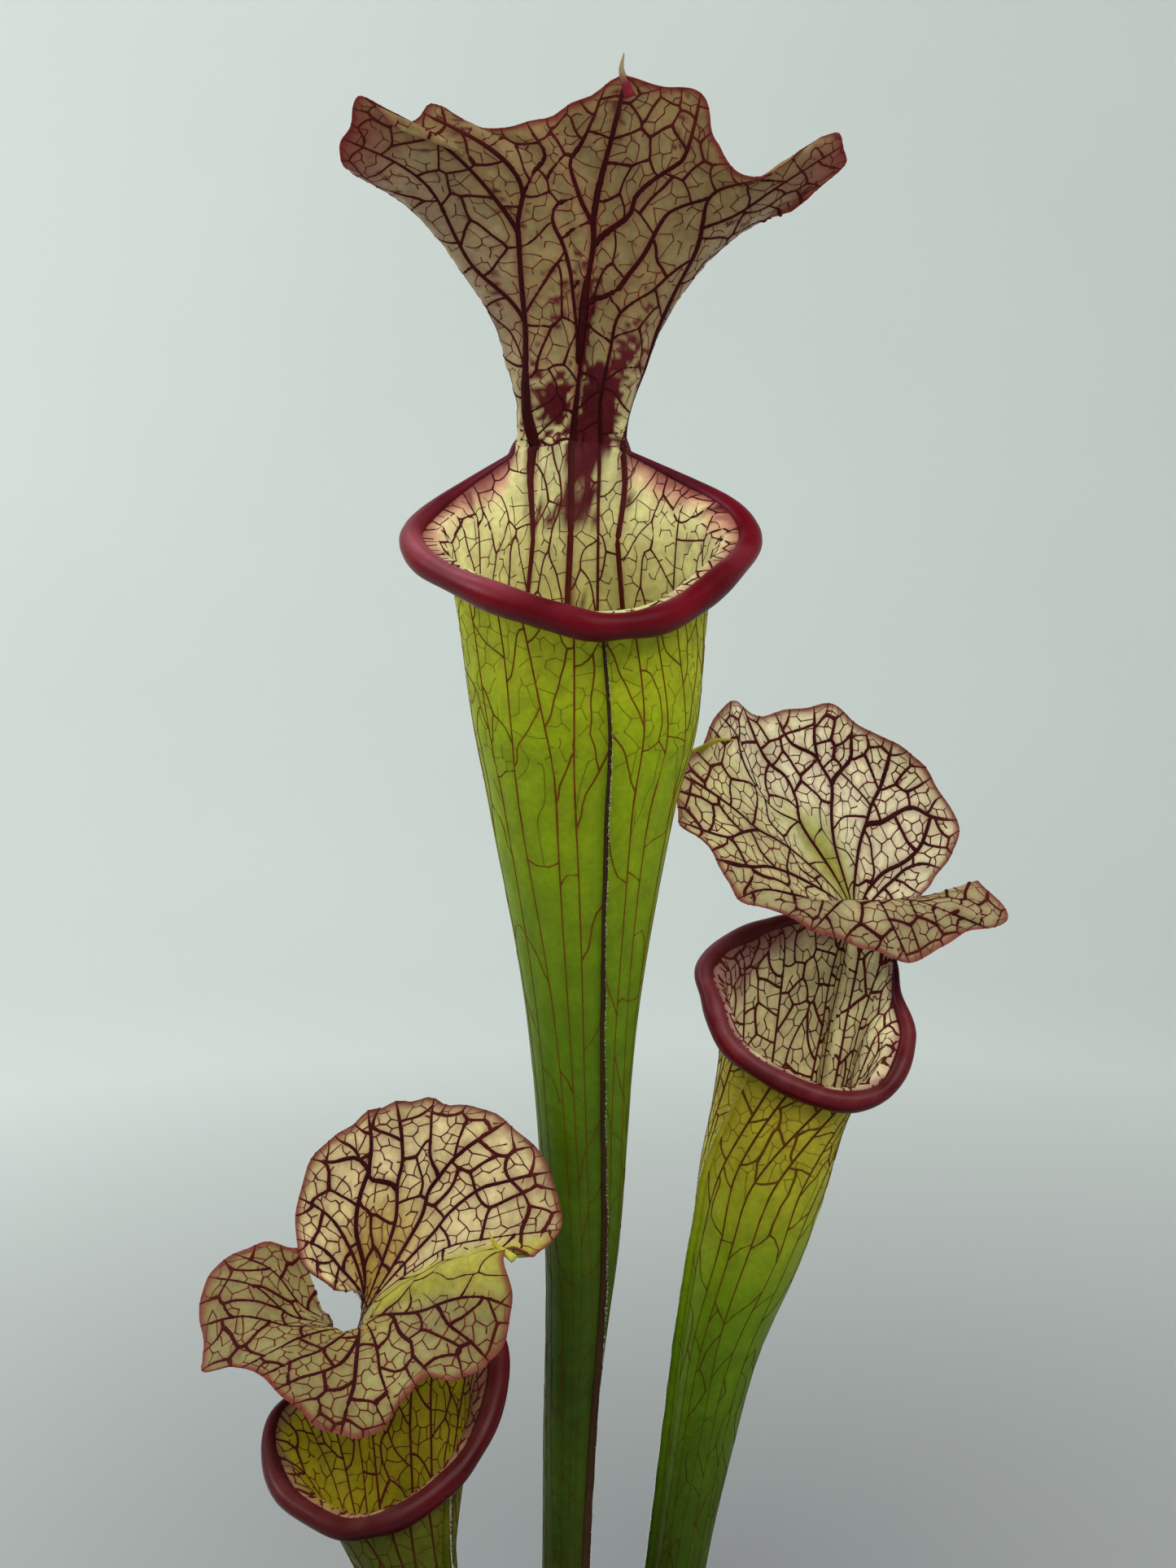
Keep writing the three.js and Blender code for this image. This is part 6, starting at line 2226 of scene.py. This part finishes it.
def soil_places(rng, count, reach):
    """Places spread over the peat, clear of the stems."""
    feet = np.array([leaf["stations"][1][:2] for leaf in (TALL, RIGHT, LEFT)], float)
    places = []
    while len(places) < count:
        r = reach * math.sqrt(rng.uniform())
        turn = rng.uniform(0, 2 * math.pi)
        spot = np.array([r * math.cos(turn), r * math.sin(turn)])
        if np.linalg.norm(feet - spot, axis=1).min() > STEM_CLEAR:
            places.append(spot)
    return np.array(places)


def strew(name, lump, places, sizes, sink, rng):
    """Copies of a lump strewn over the peat as one mesh."""
    base, base_faces = lump
    turns = random_turns(rng, len(places))
    points, faces = [], []
    for i, (x, y) in enumerate(places):
        shaped = base * sizes[i]
        at = np.array([x, y, SOIL_TOP + float(peat_height(x, y)) + sizes[i].max() * sink])
        points.append(shaped @ turns[i].T + at)
        faces += [tuple(v + i * len(base) for v in f) for f in base_faces]
    return mesh_piece(name, np.concatenate(points), faces)


def grit_finish():
    """Perlite: chalky white, pitted."""
    f = Finish("perlite")
    pits = f.noise(900.0, 4.0)
    tone = f.mix(f.ramp(pits, 0.3, 0.7), (0.42, 0.39, 0.34), (0.78, 0.77, 0.73))
    return f.surface(tone, 0.9, f.bump(pits, 0.0004, 0.8))


def moss_finish():
    """Moss: fresh green tips, brown feet."""
    f = Finish("moss")
    height = f.node("SeparateXYZ", {"Vector": f.place}).outputs["Z"]
    fresh = f.mix(f.noise(90.0), (0.045, 0.10, 0.012), (0.16, 0.24, 0.03))
    tone = f.mix(f.ramp(height, 0.1225, 0.1275), (0.035, 0.028, 0.012), fresh)
    return f.surface(tone, 0.7, f.bump(f.noise(1800.0), 0.0002, 0.6))


def moss_sprigs(rng):
    """Tufts of short sprigs, each a thin leaning spike with whorls of leaflets."""
    roots, ways, lengths = [], [], []
    for centre in soil_places(rng, MOSS_TUFTS, MOSS_REACH):
        spread = rng.uniform(2.0, 5.0)
        for _ in range(SPRIGS_PER_TUFT):
            spot = centre + rng.normal(0, spread / 2, 2)
            if np.linalg.norm(spot) > GRIT_REACH:
                continue
            lean = np.array([*rng.normal(0, 0.35, 2), 1.0])
            foot = np.array([*spot, SOIL_TOP + float(peat_height(*spot)) - 0.3])
            tall = rng.uniform(1.2, 2.8)
            for level in (0.25, 0.45, 0.65, 0.85):
                for turn in rng.uniform(0, 2 * math.pi, 3):
                    roots.append(foot + unit(lean) * tall * level)
                    ways.append([math.cos(turn), math.sin(turn), 0.7])
                    lengths.append(0.75 * (1.15 - level))
            roots.append(foot)
            ways.append(lean)
            lengths.append(tall)
    return np.array(roots), np.array(ways), np.array(lengths)


def build_ground_cover():
    """Crumbs, grit and moss on the peat."""
    rng = np.random.default_rng(5)
    places = soil_places(rng, CRUMBS, CRUMB_REACH)
    sizes = rng.uniform(0.45, 1.5, (CRUMBS, 1)) * rng.uniform(0.6, 1.2, (CRUMBS, 3))
    crumbs = strew("peat_crumbs", ico_start("crumb", 81, 0.3), places, sizes, 0.15, rng)
    dress(crumbs, PEAT)
    places = soil_places(rng, GRIT, GRIT_REACH)
    sizes = rng.uniform(0.5, 1.5, (GRIT, 1)) * rng.uniform(0.7, 1.15, (GRIT, 3))
    grit = strew("perlite_grit", ico_start("grain", 82, 0.2), places, sizes, 0.3, rng)
    dress(grit, grit_finish())
    flat, faces = hair_mesh(*moss_sprigs(rng), SPRIG_RADIUS)
    dress(mesh_piece("moss", flat, faces), moss_finish())


build_ground_cover()

# %% [markdown]
# ## Rhizome
#
# The rhizome lies just under the peat and is seen only as a brown crown between the
# stems. Its plain solid has the right form, so it stays and gets a bark finish.

# %% Rhizome bark
def bark_finish():
    """Dull brown bark with rings and scars."""
    f = Finish("rhizome_bark")
    rings = f.node("TexWave", {"Vector": f.place, "Scale": 180.0, "Distortion": 6.0,
                               "Detail": 3.0}).outputs["Fac"]
    tone = f.mix(rings, (0.045, 0.022, 0.012), (0.13, 0.065, 0.035))
    tone = f.mix(f.ramp(f.noise(150.0), 0.45, 0.6), tone, (0.07, 0.03, 0.02))
    return f.surface(tone, 0.85, f.bump(rings, 0.0006, 0.8))


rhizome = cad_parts["rhizome"]
rhizome.data.materials.clear()
rhizome.data.materials.append(bark_finish())
